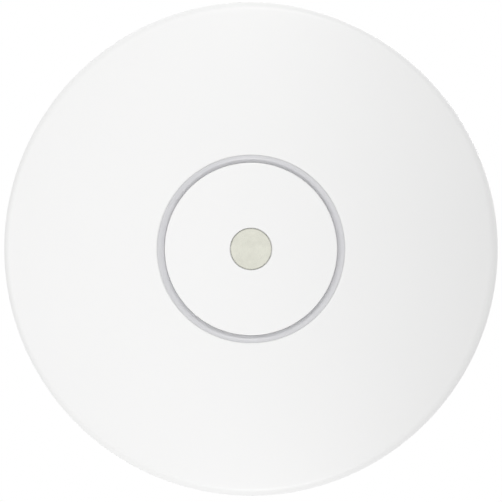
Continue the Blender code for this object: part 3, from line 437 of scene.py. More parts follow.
def new_material(name, colour, roughness, metallic=0.0, **sockets):
    """A material with plain values on the shader's own sockets. Names of more sockets have _ for a space."""
    material = bpy.data.materials.new(name)
    material.use_nodes = True
    shader = material.node_tree.nodes["Principled BSDF"]
    shader.inputs["Base Color"].default_value = (*colour, 1.0)
    shader.inputs["Roughness"].default_value = roughness
    shader.inputs["Metallic"].default_value = metallic
    for socket, value in sockets.items():
        shader.inputs[socket.replace("_", " ")].default_value = value
    return material


def shader_of(material):
    """The material's own shader."""
    return material.node_tree.nodes["Principled BSDF"]


def link(material, output, node, socket):
    """Joins an output to a node's socket."""
    material.node_tree.links.new(output, node.inputs[socket])


def add_node(material, kind, values=None, **settings):
    """A node with values on its sockets and settings of its own."""
    node = material.node_tree.nodes.new(kind)
    for name, value in settings.items():
        setattr(node, name, value)
    for socket, value in (values or {}).items():
        node.inputs[socket].default_value = value
    return node


def place_output(material, stretch=(1.0, 1.0, 1.0)):
    """Places on the piece, in metres, which stay with it as it moves."""
    source = add_node(material, "ShaderNodeTexCoord").outputs["Object"]
    if stretch == (1.0, 1.0, 1.0):
        return source
    mapping = add_node(material, "ShaderNodeMapping", {"Scale": stretch})
    link(material, source, mapping, "Vector")
    return mapping.outputs["Vector"]


def noise_output(material, size, detail=2.0, stretch=(1.0, 1.0, 1.0)):
    """Noise whose spots are about as wide as size, in metres."""
    node = add_node(material, "ShaderNodeTexNoise", {"Scale": 1.0 / size, "Detail": detail})
    link(material, place_output(material, stretch), node, "Vector")
    return node.outputs["Fac"]


def range_output(material, source, low, high, start=0.3, end=0.7):
    """A source between start and end, spread over low to high."""
    node = add_node(
        material,
        "ShaderNodeMapRange",
        {"From Min": start, "From Max": end, "To Min": low, "To Max": high},
    )
    link(material, source, node, "Value")
    return node.outputs["Result"]


def colour_output(material, source, first, second, start=0.3, end=0.7):
    """A source between start and end, as a blend of two colours."""
    node = add_node(material, "ShaderNodeValToRGB")
    stops = node.color_ramp.elements
    stops[0].position = start
    stops[0].color = (*first, 1.0)
    stops[1].position = end
    stops[1].color = (*second, 1.0)
    link(material, source, node, "Fac")
    return node.outputs["Color"]


def add_bump(material, source, depth, strength=1.0, under=None):
    """Relief of a depth in metres. Under is the normal of a coarser relief below it."""
    node = add_node(material, "ShaderNodeBump", {"Distance": depth, "Strength": strength})
    link(material, source, node, "Height")
    if under:
        link(material, under, node, "Normal")
    link(material, node.outputs["Normal"], shader_of(material), "Normal")
    return node.outputs["Normal"]


def shaded(colour, share):
    """A colour at a share of its brightness."""
    return tuple(value * share for value in colour)


def make_plastic(name, colour, roughness, grain, depth, drift=0.985, **sockets):
    """Moulded plastic: spark-eroded grain, a slow waviness, and a faint drift of colour and gloss."""
    material = new_material(name, colour, roughness, **sockets)
    shader = shader_of(material)
    slow = noise_output(material, 30 * MM, 3.0)
    tint = colour_output(material, slow, shaded(colour, drift), colour, 0.1, 0.9)
    link(material, tint, shader, "Base Color")
    gloss = noise_output(material, 6 * MM, 1.0)
    dullness = range_output(material, gloss, roughness * 0.94, roughness * 1.08, 0.1, 0.9)
    link(material, dullness, shader, "Roughness")
    wave = add_bump(material, noise_output(material, 18 * MM, 1.0), 0.02 * MM, 0.6)
    add_bump(material, noise_output(material, grain, 3.0), depth, 1.0, wave)
    return material


def make_metal(name, colour, roughness, stretch=(1.0, 1.0, 1.0), line=0.4 * MM, depth=0.004 * MM, stain=0.9):
    """Metal with fine lines or grain, and slow patches where it is duller."""
    material = new_material(name, colour, roughness, 1.0)
    shader = shader_of(material)
    lines = noise_output(material, line, 4.0, stretch)
    patches = noise_output(material, 5 * MM, 3.0)
    link(material, colour_output(material, patches, shaded(colour, stain), colour), shader, "Base Color")
    link(material, range_output(material, lines, roughness * 0.75, roughness * 1.35), shader, "Roughness")
    add_bump(material, lines, depth)
    return material


def make_spun_metal(name, colour, roughness):
    """Metal turned on a lathe: fine rings about the disc's centre."""
    material = new_material(name, colour, roughness, 1.0, Anisotropic=0.5)
    shader = shader_of(material)
    flat = add_node(material, "ShaderNodeVectorMath", {1: (1.0, 1.0, 0.0)}, operation="MULTIPLY")
    link(material, place_output(material), flat, 0)
    radius = add_node(material, "ShaderNodeVectorMath", operation="LENGTH")
    link(material, flat.outputs["Vector"], radius, 0)
    rings = add_node(material, "ShaderNodeTexNoise", {"Scale": 9000.0, "Detail": 2.0}, noise_dimensions="1D")
    link(material, radius.outputs["Value"], rings, "W")
    haze = noise_output(material, 3 * MM, 3.0)
    link(material, colour_output(material, haze, shaded(colour, 0.93), colour), shader, "Base Color")
    dullness = range_output(material, rings.outputs["Fac"], roughness * 0.8, roughness * 1.4)
    link(material, dullness, shader, "Roughness")
    add_bump(material, rings.outputs["Fac"], 0.002 * MM)
    return material


def make_board_material():
    """Green solder mask with copper tracks under it."""
    mask = (0.012, 0.105, 0.045)
    track = (0.02, 0.19, 0.075)
    material = new_material("board_mask", mask, 0.35, 0.0, Coat_Weight=0.4, Coat_Roughness=0.2)
    shader = shader_of(material)
    bricks = add_node(
        material,
        "ShaderNodeTexBrick",
        {"Scale": 160.0, "Mortar Size": 0.05, "Mortar Smooth": 0.0, "Brick Width": 1.9, "Row Height": 0.35},
        offset=0.37,
    )
    link(material, place_output(material), bricks, "Vector")
    bricks.inputs["Color1"].default_value = (*mask, 1.0)
    bricks.inputs["Color2"].default_value = (*shaded(mask, 0.85), 1.0)
    bricks.inputs["Mortar"].default_value = (*track, 1.0)
    link(material, bricks.outputs["Color"], shader, "Base Color")
    add_bump(material, bricks.outputs["Fac"], 0.03 * MM, 0.6)
    return material


COVER_WHITE = make_plastic("cover_white", (0.91, 0.91, 0.907), 0.42, 0.45 * MM, 0.004 * MM, 0.993)
CAP_WHITE = make_plastic("cap_white", (0.915, 0.915, 0.912), 0.30, 0.28 * MM, 0.001 * MM, 0.995)
PAN_WHITE = make_plastic("pan_white", (0.88, 0.88, 0.872), 0.55, 0.55 * MM, 0.012 * MM, 0.98)
LIGHT_GUIDE = make_plastic(
    "light_guide",
    (0.70, 0.70, 0.72),
    0.35,
    0.30 * MM,
    0.004 * MM,
    0.97,
    Subsurface_Weight=0.35,
    Subsurface_Radius=(1.0, 1.0, 1.0),
    Subsurface_Scale=1.2 * MM,
)
BADGE_METAL = make_spun_metal("badge_metal", (0.75, 0.75, 0.665), 0.22)
BRACKET_COAT = make_plastic("bracket_coat", (0.60, 0.61, 0.62), 0.5, 0.9 * MM, 0.03 * MM, 0.93)
GREY_PLASTIC = make_plastic("button_grey", (0.36, 0.37, 0.38), 0.45, 0.35 * MM, 0.006 * MM, 0.93)
BLACK_PLASTIC = make_plastic("socket_black", (0.025, 0.025, 0.027), 0.45, 0.35 * MM, 0.008 * MM, 0.8)
CERAMIC = make_plastic("ceramic_tan", (0.45, 0.33, 0.22), 0.5, 0.3 * MM, 0.004 * MM, 0.9)
CHIP_BLACK = make_plastic("chip_black", (0.035, 0.035, 0.04), 0.55, 0.20 * MM, 0.010 * MM, 0.8)
SEAL_RUBBER = make_plastic("seal_rubber", (0.03, 0.03, 0.03), 0.75, 0.5 * MM, 0.01 * MM, 0.8)
PAD_SOFT = make_plastic("thermal_pad", (0.36, 0.42, 0.52), 0.8, 0.6 * MM, 0.03 * MM, 0.9)
LAMP_WHITE = make_plastic("lamp_white", (0.85, 0.85, 0.83), 0.3, 0.3 * MM, 0.004 * MM, 0.95)
LAMP_LENS = make_plastic("lamp_lens", (0.85, 0.66, 0.14), 0.15, 0.3 * MM, 0.002 * MM, 0.9, Coat_Weight=0.5)
STEEL = make_metal("zinc_steel", (0.55, 0.56, 0.58), 0.42, line=0.25 * MM)
SPRING_STEEL = make_metal("spring_steel", (0.55, 0.56, 0.58), 0.28, (0.08, 1.0, 1.0), 0.15 * MM)
TIN = make_metal("tin_plate", (0.74, 0.74, 0.72), 0.32, (1.0, 0.1, 1.0), 0.2 * MM)
ALUMINIUM = make_metal("cast_aluminium", (0.76, 0.77, 0.79), 0.45, line=0.8 * MM, depth=0.03 * MM)
GOLD = make_metal("contact_gold", (0.83, 0.60, 0.24), 0.22, line=0.2 * MM)
BOARD = make_board_material()


# Front, which faces down

def make_cover():
    """The dish: a fine shell with a rolled lip at the groove and a softened edge at the seam."""
    edge = 0.3 * MM
    bore = DISC_RADIUS - SHELL_WALL
    start = GROOVE_RADIUS + GROOVE_LIP
    top = SEAM_Z - FIT
    outline = [(GROOVE_RADIUS, dome_z(GROOVE_RADIUS, SHELL_WALL))]
    outline += arc((start, dome_z(start) + GROOVE_LIP), GROOVE_LIP, 180, 270, 8)[:-1]
    outline += dome_points(start, 40, 14)
    outline += arc((DISC_RADIUS - edge, top - edge), edge, 0, 90, 4)
    outline += [(bore, top)]
    outline += dome_points(GROOVE_RADIUS, 24, 8, SHELL_WALL)[1:][::-1]
    mesh = bmesh.new()
    add_turned(mesh, outline)
    make_piece("cover_shell", mesh, COVER_WHITE, "access_point", "white", "front_cover")
    make_cover_bosses()


def make_cover_bosses():
    """Tubes inside the dish that take the housing's screws."""
    bore = 1.7 * MM
    wall = 1.7 * MM
    chamfer = 0.3 * MM
    root = dome_z(CASE_SCREW_CIRCLE, SHELL_WALL * 0.6)
    top = COVER_HIGH.z
    mesh = bmesh.new()
    for degrees in QUARTERS:
        outline = [(bore, root), (bore + wall, root), (bore + wall, top - chamfer)]
        outline += [(bore + wall - chamfer, top), (bore + chamfer, top), (bore, top - chamfer)]
        add_turned(mesh, outline, 40, around(CASE_SCREW_CIRCLE, degrees))
    make_piece("cover_bosses", mesh, COVER_WHITE, "access_point", "white")


def make_cap():
    """The middle of the dish: a shallow lid with a rounded rim, a seat for the badge and a snap ring."""
    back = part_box("centre_cap")[1].z
    inside = dome_z(CAP_RADIUS) + CAP_WALL
    seat = BADGE_RADIUS + FIT
    seat_z = dome_z(BADGE_RADIUS) + 0.8 * MM
    rest = dome_z(RING_RADIUS, SHELL_WALL)
    chamfer = 0.15 * MM
    start = seat + chamfer
    end = CAP_RADIUS - CAP_RIM
    outline = [(0.0, seat_z), (seat, seat_z), (seat, dome_z(seat) + chamfer), (start, dome_z(seat))]
    steps = 24
    for step in range(1, steps):
        radius = start + (end - start) * step / steps
        outline.append((radius, dome_z(radius)))
    outline += arc((end, dome_z(end) + CAP_RIM), CAP_RIM, 270, 360, 8)
    outline += [(CAP_RADIUS, rest), (SNAP_RADIUS, rest), (SNAP_RADIUS, back)]
    outline += [(SNAP_RADIUS - SNAP_WALL, back), (SNAP_RADIUS - SNAP_WALL, inside), (0.0, inside)]
    mesh = bmesh.new()
    add_turned(mesh, outline)
    make_piece("cap_shell", mesh, CAP_WHITE, "access_point", "white", "centre_cap")


def make_light_ring():
    """The frosted guide in the groove: its face dips from the dish towards the cap, on a wide flange."""
    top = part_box("light_ring")[1].z
    inner = CAP_RADIUS + 2 * RING_GAP
    lip_middle = (GROOVE_RADIUS + GROOVE_LIP, dome_z(GROOVE_RADIUS) + GROOVE_LIP)
    lip = arc(lip_middle, GROOVE_LIP + RING_GAP, 180, 225, 5)
    outer, rim = lip[-1]
    front = dome_z(RING_RADIUS, SHELL_WALL) + FIT
    back = front + RING_FLANGE
    shelf = CAP_RADIUS - RING_SHELF
    outline = [(shelf, back), (shelf, front), (inner, front)]
    steps = 10
    for step in range(steps + 1):
        share = step / steps
        radius = inner + (outer - inner) * share
        outline.append((radius, rim + RING_DIP * (1.0 - share) ** RING_SWEEP))
    outline += lip[::-1][1:]
    outline += [(GROOVE_RADIUS - RING_GAP, front), (RING_RADIUS, front), (RING_RADIUS, back)]
    mesh = bmesh.new()
    add_turned(mesh, outline)
    for degrees in QUARTERS:
        x, y = around(LIGHT_CIRCLE, degrees)
        add_rod(mesh, LIGHT_LEG_RADIUS, (x, y, back), (x, y, top), 24)
    make_piece("light_ring_fine", mesh, LIGHT_GUIDE, "access_point", "light_guide", "light_ring")


def make_badge():
    """A bare spun disc in the cap's seat, slightly dished, with a polished chamfer."""
    low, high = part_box("centre_badge")
    bevel = 0.25 * MM
    dish = 0.08 * MM
    flat = BADGE_RADIUS - bevel
    outline = [(0.0, high.z), (0.0, low.z + dish)]
    steps = 10
    for step in range(1, steps + 1):
        share = step / steps
        outline.append((flat * share, low.z + dish * (1.0 - share**2)))
    outline += [(BADGE_RADIUS, low.z + bevel), (BADGE_RADIUS, high.z)]
    mesh = bmesh.new()
    add_turned(mesh, outline)
    make_piece("badge_fine", mesh, BADGE_METAL, "access_point", "badge", "centre_badge")


# Back

def pan_cuts():
    """Blind vent slots on both sides of the pan, and a bare sunk field opposite the port cover."""
    mesh = bmesh.new()
    top = BACK_Z + MM
    for side in (0.0, 180.0):
        for step in range(VENT_COUNT):
            degrees = side + VENT_PITCH * (step - (VENT_COUNT - 1) / 2)
            outline = slot_outline(around(VENT_START, degrees), around(VENT_END, degrees), VENT_WIDTH)
            add_upright(mesh, outline, BACK_Z - VENT_DEPTH, top)
    field = field_outline((0.0, FIELD_Y), FIELD_WIDTH, FIELD_LENGTH, 2.0 * MM)
    add_upright(mesh, field, BACK_Z - FIELD_DEPTH, top)
    return mesh


def make_bracket():
    """A pressed plate with two beads, a skirt with four lugs, screw holes and a window over the latch."""
    low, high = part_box("mounting_bracket")
    radius = high.x
    inside = radius - BRACKET_WALL
    outline = [(CABLE_HOLE_RADIUS, -BRACKET_WALL), (CABLE_HOLE_RADIUS, 0.0)]
    for middle, half in BEADS:
        steps = 8
        for step in range(steps + 1):
            share = step / steps
            depth = half * 0.5 * math.sin(math.pi * share) ** 2
            outline.append((middle + half * (2 * share - 1), -depth))
    outline += arc((radius - BRACKET_BEND, -BRACKET_BEND), BRACKET_BEND, 90, 0, 5)
    outline += [(radius, low.z), (inside, low.z), (inside, -BRACKET_WALL)]
    mesh = bmesh.new()
    add_turned(mesh, outline)
    for degrees in QUARTERS:
        start = degrees - LUG_SPAN / 2
        lug = arc((0.0, 0.0), radius - BRACKET_WALL / 2, start, start + LUG_SPAN, 12)
        lug += arc((0.0, 0.0), radius + LUG_REACH, start + LUG_SPAN, start, 12)
        add_upright(mesh, lug, low.z, low.z + LUG_THICK)
    piece = make_piece("bracket", mesh, BRACKET_COAT, "ceiling_mount", "bracket", "mounting_bracket")
    cut(piece, bracket_holes())
    round_edges(piece, 0.2 * MM)


def bracket_holes():
    """Four screw holes, a rivet hole and the latch's window, all through the plate."""
    under = -2 * BRACKET_WALL
    mesh = bmesh.new()
    for degrees in QUARTERS:
        x, y = around(CEILING_SCREW_CIRCLE, degrees)
        add_rod(mesh, SHANK_RADIUS["ceiling_screw"] + FIT, (x, y, under), (x, y, MM), 48)
    add_rod(mesh, RIVET_HOLE_RADIUS, (LATCH_HINGE_X, LATCH_Y, under), (LATCH_HINGE_X, LATCH_Y, MM), 32)
    middle = (LATCH_WINDOW_X, LATCH_Y)
    window = field_outline(middle, LATCH_WINDOW_WIDTH, LATCH_WINDOW_LENGTH, 0.6 * MM)
    add_upright(mesh, window, under, MM)
    return mesh


# Screws

def cut_cross(piece, width, radius, face, way, deep, centre=(0.0, 0.0)):
    """Cuts two crossed slots that narrow as they go in, one after the other."""
    for turn in (0.0, 90.0):
        mesh = bmesh.new()
        place = Matrix.Translation((*centre, 0.0)) @ Matrix.Rotation(math.radians(turn), 4, "Z")
        corners = []
        for height, share in ((face - way * 0.1 * MM, 1.0), (face + way * deep, 0.45)):
            for x, y in ((-1, -1), (1, -1), (1, 1), (-1, 1)):
                corners.append(mesh.verts.new(place @ Vector((x * radius * share, y * width / 2, height))))
        mesh.faces.new(corners[:4])
        mesh.faces.new(corners[4:])
        for side in range(4):
            after = (side + 1) % 4
            mesh.faces.new((corners[side], corners[after], corners[4 + after], corners[4 + side]))
        cut(piece, mesh)


def add_thread(mesh, core, crest, pitch, start, end, taper):
    """A shank with a helical ridge from a start height to an end height, coming to a point over the taper."""
    sides = 32
    rise = math.copysign(pitch / 10, end - start)
    rows = []
    for row in range(int((end - start) / rise) + 1):
        height = start + row * rise
        share = min(1.0, abs(end - height) / taper)
        ring = []
        for step in range(sides):
            turn = (abs(height - start) / pitch - step / sides) % 1.0
            ridge = max(0.0, 1.0 - abs(turn - 0.5) / 0.25)
            radius = (core + (crest - core) * ridge) * (0.12 + 0.88 * share)
            angle = 2 * math.pi * step / sides
            ring.append(mesh.verts.new((radius * math.cos(angle), radius * math.sin(angle), height)))
        rows.append(ring)
    for row, following in zip(rows, rows[1:]):
        for step in range(sides):
            after = (step + 1) % sides
            mesh.faces.new((row[step], row[after], following[after], following[step]))
    mesh.faces.new(rows[0])
    mesh.faces.new(rows[-1])


def screw_mesh(kind, points_up):
    """A pan-head screw about the Z axis at its node's heights, with a cross recess and a thread."""
    low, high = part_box(f"{kind}_1")
    head = (high.x - low.x) / 2
    way = 1.0 if points_up else -1.0
    face = low.z if points_up else high.z
    tip = high.z if points_up else low.z
    thick = HEAD_THICK[kind]
    shank = SHANK_RADIUS[kind]
    core_share, pitch, taper = THREADS[kind]
    seat = face + way * thick
    bend = thick * 0.6
    outline = [(0.0, face)]
    for radius, drop in arc((head - bend, bend), bend, 270, 360, 8):
        outline.append((radius, face + way * drop))
    outline += [(head, seat), (0.0, seat)]
    mesh = bmesh.new()
    add_turned(mesh, outline, 48)
    part = add_object("head", make_mesh("head", mesh))
    cut_cross(part, head * RECESS_WIDTH, head * RECESS_REACH, face, way, thick * RECESS_DEPTH)
    mesh = bmesh.new()
    mesh.from_mesh(part.data)
    bpy.data.objects.remove(part, do_unlink=True)
    add_thread(mesh, shank * core_share, shank, pitch, seat - way * 0.1 * MM, tip, taper)
    return make_mesh(f"{kind}_fine", mesh)


def make_screws(kind, body, circle, angles, points_up):
    """Copies of one screw at its places around the disc, each turned to an angle of its own."""
    data = screw_mesh(kind, points_up)
    data.materials.append(STEEL)
    for count, degrees in enumerate(angles, 1):
        screw = add_object(f"{kind}_{count}_fine", data)
        screw.location = (*around(circle, degrees), 0.0)
        screw.rotation_euler = (0.0, 0.0, math.radians(degrees * 1.7))
        smooth(screw)
        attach(screw, body)
        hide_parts(f"{kind}_{count}")


# Sockets

def make_jack(count):
    """A tin shell with spring tabs round a black insert, and gold contacts that slant into the socket."""
    low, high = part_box(f"jack_shell_{count}")
    refine(f"jack_shell_{count}", TIN, "access_point", "tin", 0.12 * MM, False)
    refine(f"jack_insert_{count}", BLACK_PLASTIC, "access_point", "black", 0.12 * MM, False)
    middle = (low.x + high.x) / 2
    top = (low.z + high.z) / 2 + SOCKET_TOP
    back = low.y + SOCKET_DEPTH
    mesh = bmesh.new()
    for wire in range(CONTACTS):
        x = middle + (wire - (CONTACTS - 1) / 2) * CONTACT_PITCH
        points = [(x, back - before * MM, top - below * MM) for before, below in CONTACT_BENDS]
        add_wire(mesh, CONTACT_RADIUS, points)
    make_piece(f"contacts_{count}", mesh, GOLD, "access_point", "tin")
    mesh = bmesh.new()
    inset = 3.4 * MM
    proud = 0.22 * MM
    for side in (-1, 1):
        wall = middle + side * (high.x - low.x) / 2
        edges = sorted((wall, wall + side * proud))
        for z in (low.z + inset, high.z - inset):
            start = (edges[0], low.y + 3.0 * MM, z - 1.0 * MM)
            end = (edges[1], low.y + 8.5 * MM, z + 1.0 * MM)
            add_soft_block(mesh, start, end, 0.1 * MM)
    make_piece(f"spring_tabs_{count}", mesh, TIN, "access_point", "tin")


# Board and the parts on it

def make_package(node, leads, long_sides_only=False):
    """A moulded chip: a chamfered body with a dimple at its first corner, and bent legs down to the board."""
    low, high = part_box(node)
    reach = 0.9 * MM
    lift = 0.15 * MM
    inner_low = Vector((low.x + reach, low.y + reach, low.z + lift))
    inner_high = Vector((high.x - reach, high.y - reach, high.z))
    if long_sides_only:
        inner_low.x = low.x
        inner_high.x = high.x
    mesh = bmesh.new()
    add_soft_block(mesh, inner_low, inner_high, 0.18 * MM, 1)
    body = make_piece(node + "_fine", mesh, CHIP_BLACK, "access_point", "chip", node)
    dimple = bmesh.new()
    corner = (inner_low.x + 1.3 * MM, inner_low.y + 1.3 * MM)
    add_rod(dimple, 0.45 * MM, (*corner, high.z - 0.12 * MM), (*corner, high.z + MM), 24)
    cut(body, dimple)
    mesh = bmesh.new()
    sides = (0, 2) if long_sides_only else (0, 1, 2, 3)
    for side in sides:
        add_leads(mesh, low, high, inner_low, inner_high, side, leads)
    make_piece(node + "_legs", mesh, TIN, "access_point", "tin")


def add_leads(mesh, low, high, inner_low, inner_high, side, count):
    """Bent legs along one side of a chip: sides 0 and 2 face -Y and +Y, sides 1 and 3 face -X and +X."""
    axis = 0 if side % 2 == 0 else 1
    out = 1 - axis
    way = -1 if side < 2 else 1
    rim = (inner_low if way < 0 else inner_high)[out]
    tip = (low if way < 0 else high)[out]
    margin = 0.6 * MM
    thick = 0.14 * MM
    level = 0.55  # height of a leg's root, as a share of the chip's
    length = inner_high[axis] - inner_low[axis] - 2 * margin
    half = min(0.2 * MM, length / count * 0.3)
    for lead in range(count):
        along = inner_low[axis] + margin + length * (lead + 0.5) / count
        knee = rim + (tip - rim) * 0.45
        steps = ((rim, knee, level), (knee, knee + way * 0.15 * MM, level), (knee, tip, 0.0))
        for begin, finish, share in steps:
            bottom = low.z + (high.z - low.z) * share
            top = bottom + thick
            if share and finish != knee:
                bottom = low.z
            corner = [0.0, 0.0, bottom]
            corner[axis] = along - half
            corner[out] = min(begin, finish)
            other = [0.0, 0.0, top]
            other[axis] = along + half
            other[out] = max(begin, finish)
            add_block(mesh, corner, other)


def make_can(count, columns, rows):
    """A drawn tin can with a field of small vent holes."""
    node = f"shield_can_{count}"
    low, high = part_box(node)
    holes = bmesh.new()
    for column in range(columns):
        for row in range(rows):
            x = low.x + (high.x - low.x) * (column + 1) / (columns + 1)
            y = low.y + (high.y - low.y) * (row + 1) / (rows + 1)
            add_rod(holes, 0.6 * MM, (x, y, low.z - MM), (x, y, low.z + MM), 16)
    refine(node, TIN, "access_point", "tin", 0.15 * MM, False, holes)


def make_capacitor(count):
    """A small aluminium can: crimped near its black foot, with a scored cross on its domed end."""
    name = f"capacitor_{count}"
    low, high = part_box(name)
    middle = ((low.x + high.x) / 2, (low.y + high.y) / 2)
    can = (high.x - low.x) / 2 - 0.15 * MM
    foot = high.z - 0.7 * MM
    crimp = foot - 1.0 * MM
    pinch = 0.3 * MM
    bend = 0.5 * MM
    outline = [(0.0, low.z), *arc((can - bend, low.z + bend), bend, -90, 0, 6)]
    outline += [(can, crimp - pinch), (can - pinch, crimp), (can, crimp + pinch)]
    outline += [(can, foot), (0.0, foot)]
    mesh = bmesh.new()
    add_turned(mesh, outline, 40, middle)
    piece = make_piece(name + "_fine", mesh, ALUMINIUM, "access_point", "aluminium", name)
    cut_cross(piece, 0.25 * MM, can * 0.7, low.z, 1.0, 0.12 * MM, middle)
    mesh = bmesh.new()
    add_soft_block(mesh, (low.x, low.y, foot + 0.02 * MM), high, 0.2 * MM)
    make_piece(name + "_foot", mesh, BLACK_PLASTIC, "access_point", "black")


def make_inductor():
    """A moulded coil: rounded body with a shallow round boss, on two tinned ends."""
    low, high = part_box("power_inductor")
    middle = (low + high) / 2
    mesh = bmesh.new()
    body_low = (low.x, low.y + 0.15 * MM, low.z + 0.2 * MM)
    body_high = (high.x, high.y - 0.15 * MM, high.z - 0.15 * MM)
    add_soft_block(mesh, body_low, body_high, 0.8 * MM, 4)
    add_rod(mesh, 3.6 * MM, (middle.x, middle.y, low.z), (middle.x, middle.y, middle.z), 48)
    make_piece("inductor_fine", mesh, CHIP_BLACK, "access_point", "chip", "power_inductor")
    mesh = bmesh.new()
    for side in (-1, 1):
        edge = middle.y + side * (high.y - low.y) / 2
        inner = edge - side * 1.6 * MM
        start = (middle.x - 2.5 * MM, min(edge, inner), high.z - 0.3 * MM)
        end = (middle.x + 2.5 * MM, max(edge, inner), high.z)
        add_soft_block(mesh, start, end, 0.08 * MM)
    make_piece("inductor_ends", mesh, TIN, "access_point", "tin")


def make_light(count, degrees):
    """A white lamp package with a yellow lens in its well."""
    low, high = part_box(f"status_led_{count}")
    half = 1.6 * MM
    skin = 0.12 * MM
    corner = (LIGHT_CIRCLE - half, -half, low.z + skin)
    mesh = bmesh.new()
    add_soft_block(mesh, corner, (LIGHT_CIRCLE + half, half, high.z), skin)
    turn_about_axis(mesh, degrees)
    make_piece(f"lamp_{count}", mesh, LAMP_WHITE, "access_point", "lamp", f"status_led_{count}")
    mesh = bmesh.new()
    lens = 1.2 * MM
    rise = 0.28 * MM
    bulge = (lens**2 + rise**2) / (2 * rise)
    reach = math.degrees(math.asin(lens / bulge))
    dome = arc((0.0, low.z + bulge), bulge, -90, reach - 90, 6)[1:]
    outline = [(0.0, low.z), *dome, (0.0, low.z + rise)]
    add_turned(mesh, outline, 32, (LIGHT_CIRCLE, 0.0))
    turn_about_axis(mesh, degrees)
    make_piece(f"lamp_lens_{count}", mesh, LAMP_LENS, "access_point", "lamp")


def make_pad(count):
    """A soft pad that bulges a little where it is pressed."""
    low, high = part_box(f"thermal_pad_{count}")
    mesh = bmesh.new()
    add_soft_block(mesh, low, high, 0.7 * MM, 5)
    make_piece(f"pad_{count}", mesh, PAD_SOFT, "access_point", "pad", f"thermal_pad_{count}")


def make_board():
    """The board with rounded edges, and plated rings where its screws pass."""
    refine("main_board", BOARD, "access_point", "board", 0.1 * MM)
    low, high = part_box("main_board")
    inner = 1.5 * MM
    outer = 2.9 * MM
    skin = 0.06 * MM
    mesh = bmesh.new()
    for degrees in STANDOFF_ANGLES:
        centre = around(STANDOFF_CIRCLE, degrees)
        for face in (low.z, high.z):
            outline = [(inner, face - skin), (outer, face - skin), (outer, face + skin), (inner, face + skin)]
            add_turned(mesh, outline, 48, centre)
    make_piece("board_rings", mesh, TIN, "access_point", "tin")


def make_small_parts():
    """Rows of chip resistors, every third one a taller ceramic capacitor, all with tinned ends."""
    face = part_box("main_board")[0].z
    half_width = 0.4 * MM
    half_length = 0.8 * MM
    end = 0.3 * MM
    resistors = bmesh.new()
    ceramics = bmesh.new()
    ends = bmesh.new()
    for left, lower, columns, rows in SMALL_PART_FIELDS:
        for count in range(columns * rows):
            x = left + SMALL_PART_PITCH[0] * (count % columns)
            y = lower + SMALL_PART_PITCH[1] * (count // columns)
            tall = count % 3 == 0
            height = (0.8 if tall else 0.45) * MM
            body_low = (x - half_width, y - half_length + end, face - height)
            body_high = (x + half_width, y + half_length - end, face)
            add_block(ceramics if tall else resistors, body_low, body_high)
            for side in (-1, 1):
                edges = sorted((y + side * half_length, y + side * (half_length - end)))
                end_low = (x - half_width, edges[0], face - height - 0.03 * MM)
                add_soft_block(ends, end_low, (x + half_width, edges[1], face), 0.06 * MM, 1)
    make_piece("resistors", resistors, CHIP_BLACK, "access_point", "chip")
    make_piece("ceramic_capacitors", ceramics, CERAMIC, "access_point", "chip")
    make_piece("small_part_ends", ends, TIN, "access_point", "tin")


# Studio

def add_camera():
    """Looks straight up at the disc from below, with +X to the right."""
    data = bpy.data.cameras.new("camera")
    data.sensor_width = 36.0
    data.lens = CAMERA_LENS
    data.clip_end = 20.0
    camera = add_object("camera", data)
    camera.location = (0.0, CAMERA_SHIFT, -CAMERA_DISTANCE)
    camera.rotation_euler = (math.pi, 0.0, 0.0)
    bpy.context.scene.camera = camera


def aim_lamp(data, place, target):
    """A lamp at a place, turned to its target, that the camera doesn't see."""
    lamp = add_object(data.name, data)
    lamp.location = place
    lamp.rotation_euler = (Vector(target) - Vector(place)).to_track_quat("-Z", "Y").to_euler()
    lamp.visible_camera = False


def add_spot(name, place, target, degrees, power):
    """A spot lamp of a cone in degrees, as soft as it can be."""
    data = bpy.data.lights.new(name, "SPOT")
    data.shadow_soft_size = 0.12
    data.spot_size = math.radians(degrees)
    data.spot_blend = 1.0
    data.energy = power
    aim_lamp(data, place, target)


def add_lamps():
    """Two pairs of spots on the front, aimed left so that its right side falls off, and one on the back."""
    for side in (-1, 1):
        add_spot("key", (0.04, side * 0.68, -0.50), (-0.04, side * 0.02, 0.0), 34.0, 7.6)
        add_spot("side", (-0.75, side * 0.15, -0.42), (-0.05, 0.0, 0.0), 33.0, 1.8)
    data = bpy.data.lights.new("top", "AREA")
    data.shape = "DISK"
    data.size = 0.7
    data.energy = 3.0
    aim_lamp(data, (0.45, -0.45, 0.70), (0.0, 0.0, 0.0))


def add_world():
    """White to the camera and in reflections, and an even pale grey light on the object."""
    world = bpy.data.worlds.new("studio")
    bpy.context.scene.world = world
    world.use_nodes = True
    nodes = world.node_tree.nodes
    links = world.node_tree.links
    background = nodes["Background"]
    background.inputs["Color"].default_value = (1.0, 1.0, 1.0, 1.0)
    links.new(seen_strength(nodes, links, WORLD_LIGHT, 1.0), background.inputs["Strength"])


def seen_strength(nodes, links, unseen, seen):
    """One strength for what the camera sees, directly, in gloss or through glass, and one for the light."""
    path = nodes.new("ShaderNodeLightPath")
    looks = path.outputs["Is Camera Ray"]
    for name in ("Is Glossy Ray", "Is Transmission Ray"):
        either = nodes.new("ShaderNodeMath")
        either.operation = "MAXIMUM"
        links.new(looks, either.inputs[0])
        links.new(path.outputs[name], either.inputs[1])
        looks = either.outputs["Value"]
    strength = nodes.new("ShaderNodeMapRange")
    strength.inputs["To Min"].default_value = unseen
    strength.inputs["To Max"].default_value = seen
    links.new(looks, strength.inputs["Value"])
    return strength.outputs["Result"]


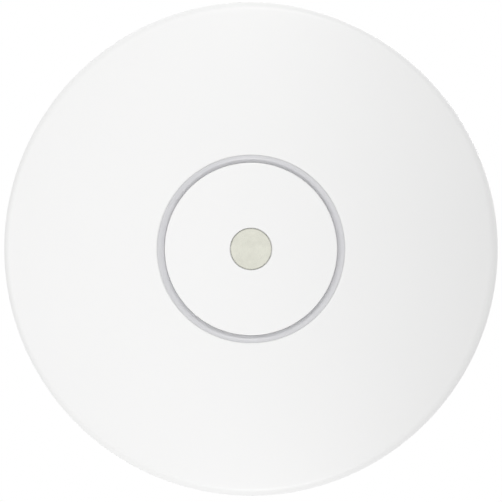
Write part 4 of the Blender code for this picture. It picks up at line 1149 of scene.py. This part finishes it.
def add_floor():
    """A plain pale floor, well below the hanging disc and the camera."""
    mesh = bmesh.new()
    bmesh.ops.create_grid(mesh, x_segments=1, y_segments=1, size=6.0)
    floor = add_object("floor", make_mesh("floor", mesh))
    floor.location = (0.0, 0.0, FLOOR_Z)
    material = new_material("floor_paint", (0.9, 0.9, 0.9), 0.8, Emission_Color=(1.0, 1.0, 1.0, 1.0))
    tree = material.node_tree
    glow = seen_strength(tree.nodes, tree.links, 0.0, FLOOR_LIGHT)
    link(material, glow, shader_of(material), "Emission Strength")
    floor.data.materials.append(material)


make_cover()
make_cap()
make_light_ring()
make_badge()

refine("back_housing", PAN_WHITE, "access_point", "white", 0.2 * MM, True, pan_cuts(), SOCKET_WALL)
make_bracket()
refine("port_cover", PAN_WHITE, "port_cover", "white", 0.2 * MM)
refine("latch_spring", SPRING_STEEL, "latch", "steel", 0.1 * MM)
refine("reset_button", GREY_PLASTIC, "reset", "grey", 0.15 * MM)
make_screws("ceiling_screw", "ceiling_mount", CEILING_SCREW_CIRCLE, QUARTERS, True)
make_screws("housing_screw", "access_point", CASE_SCREW_CIRCLE, QUARTERS, False)
make_screws("board_screw", "access_point", STANDOFF_CIRCLE, STANDOFF_ANGLES, True)
refine("latch_rivet", STEEL, "ceiling_mount", "steel", 0.25 * MM, False)

for number in (1, 2):
    make_jack(number)
    make_package(f"transformer_{number}", 8, True)
refine("tact_switch", BLACK_PLASTIC, "access_point", "black", 0.1 * MM, False)

refine("seal_gasket", SEAL_RUBBER, "access_point", "seal", 0.3 * MM)
refine("heat_plate", ALUMINIUM, "access_point", "aluminium", 0.3 * MM)
make_board()
make_small_parts()
make_package("processor", 14)
make_package("memory_chip", 10, True)
make_package("flash_chip", 4, True)
make_package("radio_chip_1", 9)
make_package("radio_chip_2", 9)
make_can(1, 7, 5)
make_can(2, 4, 3)
make_can(3, 4, 3)
make_inductor()
for number in (1, 2, 3):
    make_pad(number)
    make_capacitor(number)
for number, degrees in enumerate(QUARTERS, 1):
    refine(f"antenna_{number}", TIN, "access_point", "tin", 0.12 * MM, False)
    make_light(number, degrees)

add_camera()
add_lamps()
add_world()
add_floor()
bpy.context.scene.view_settings.view_transform = "Standard"
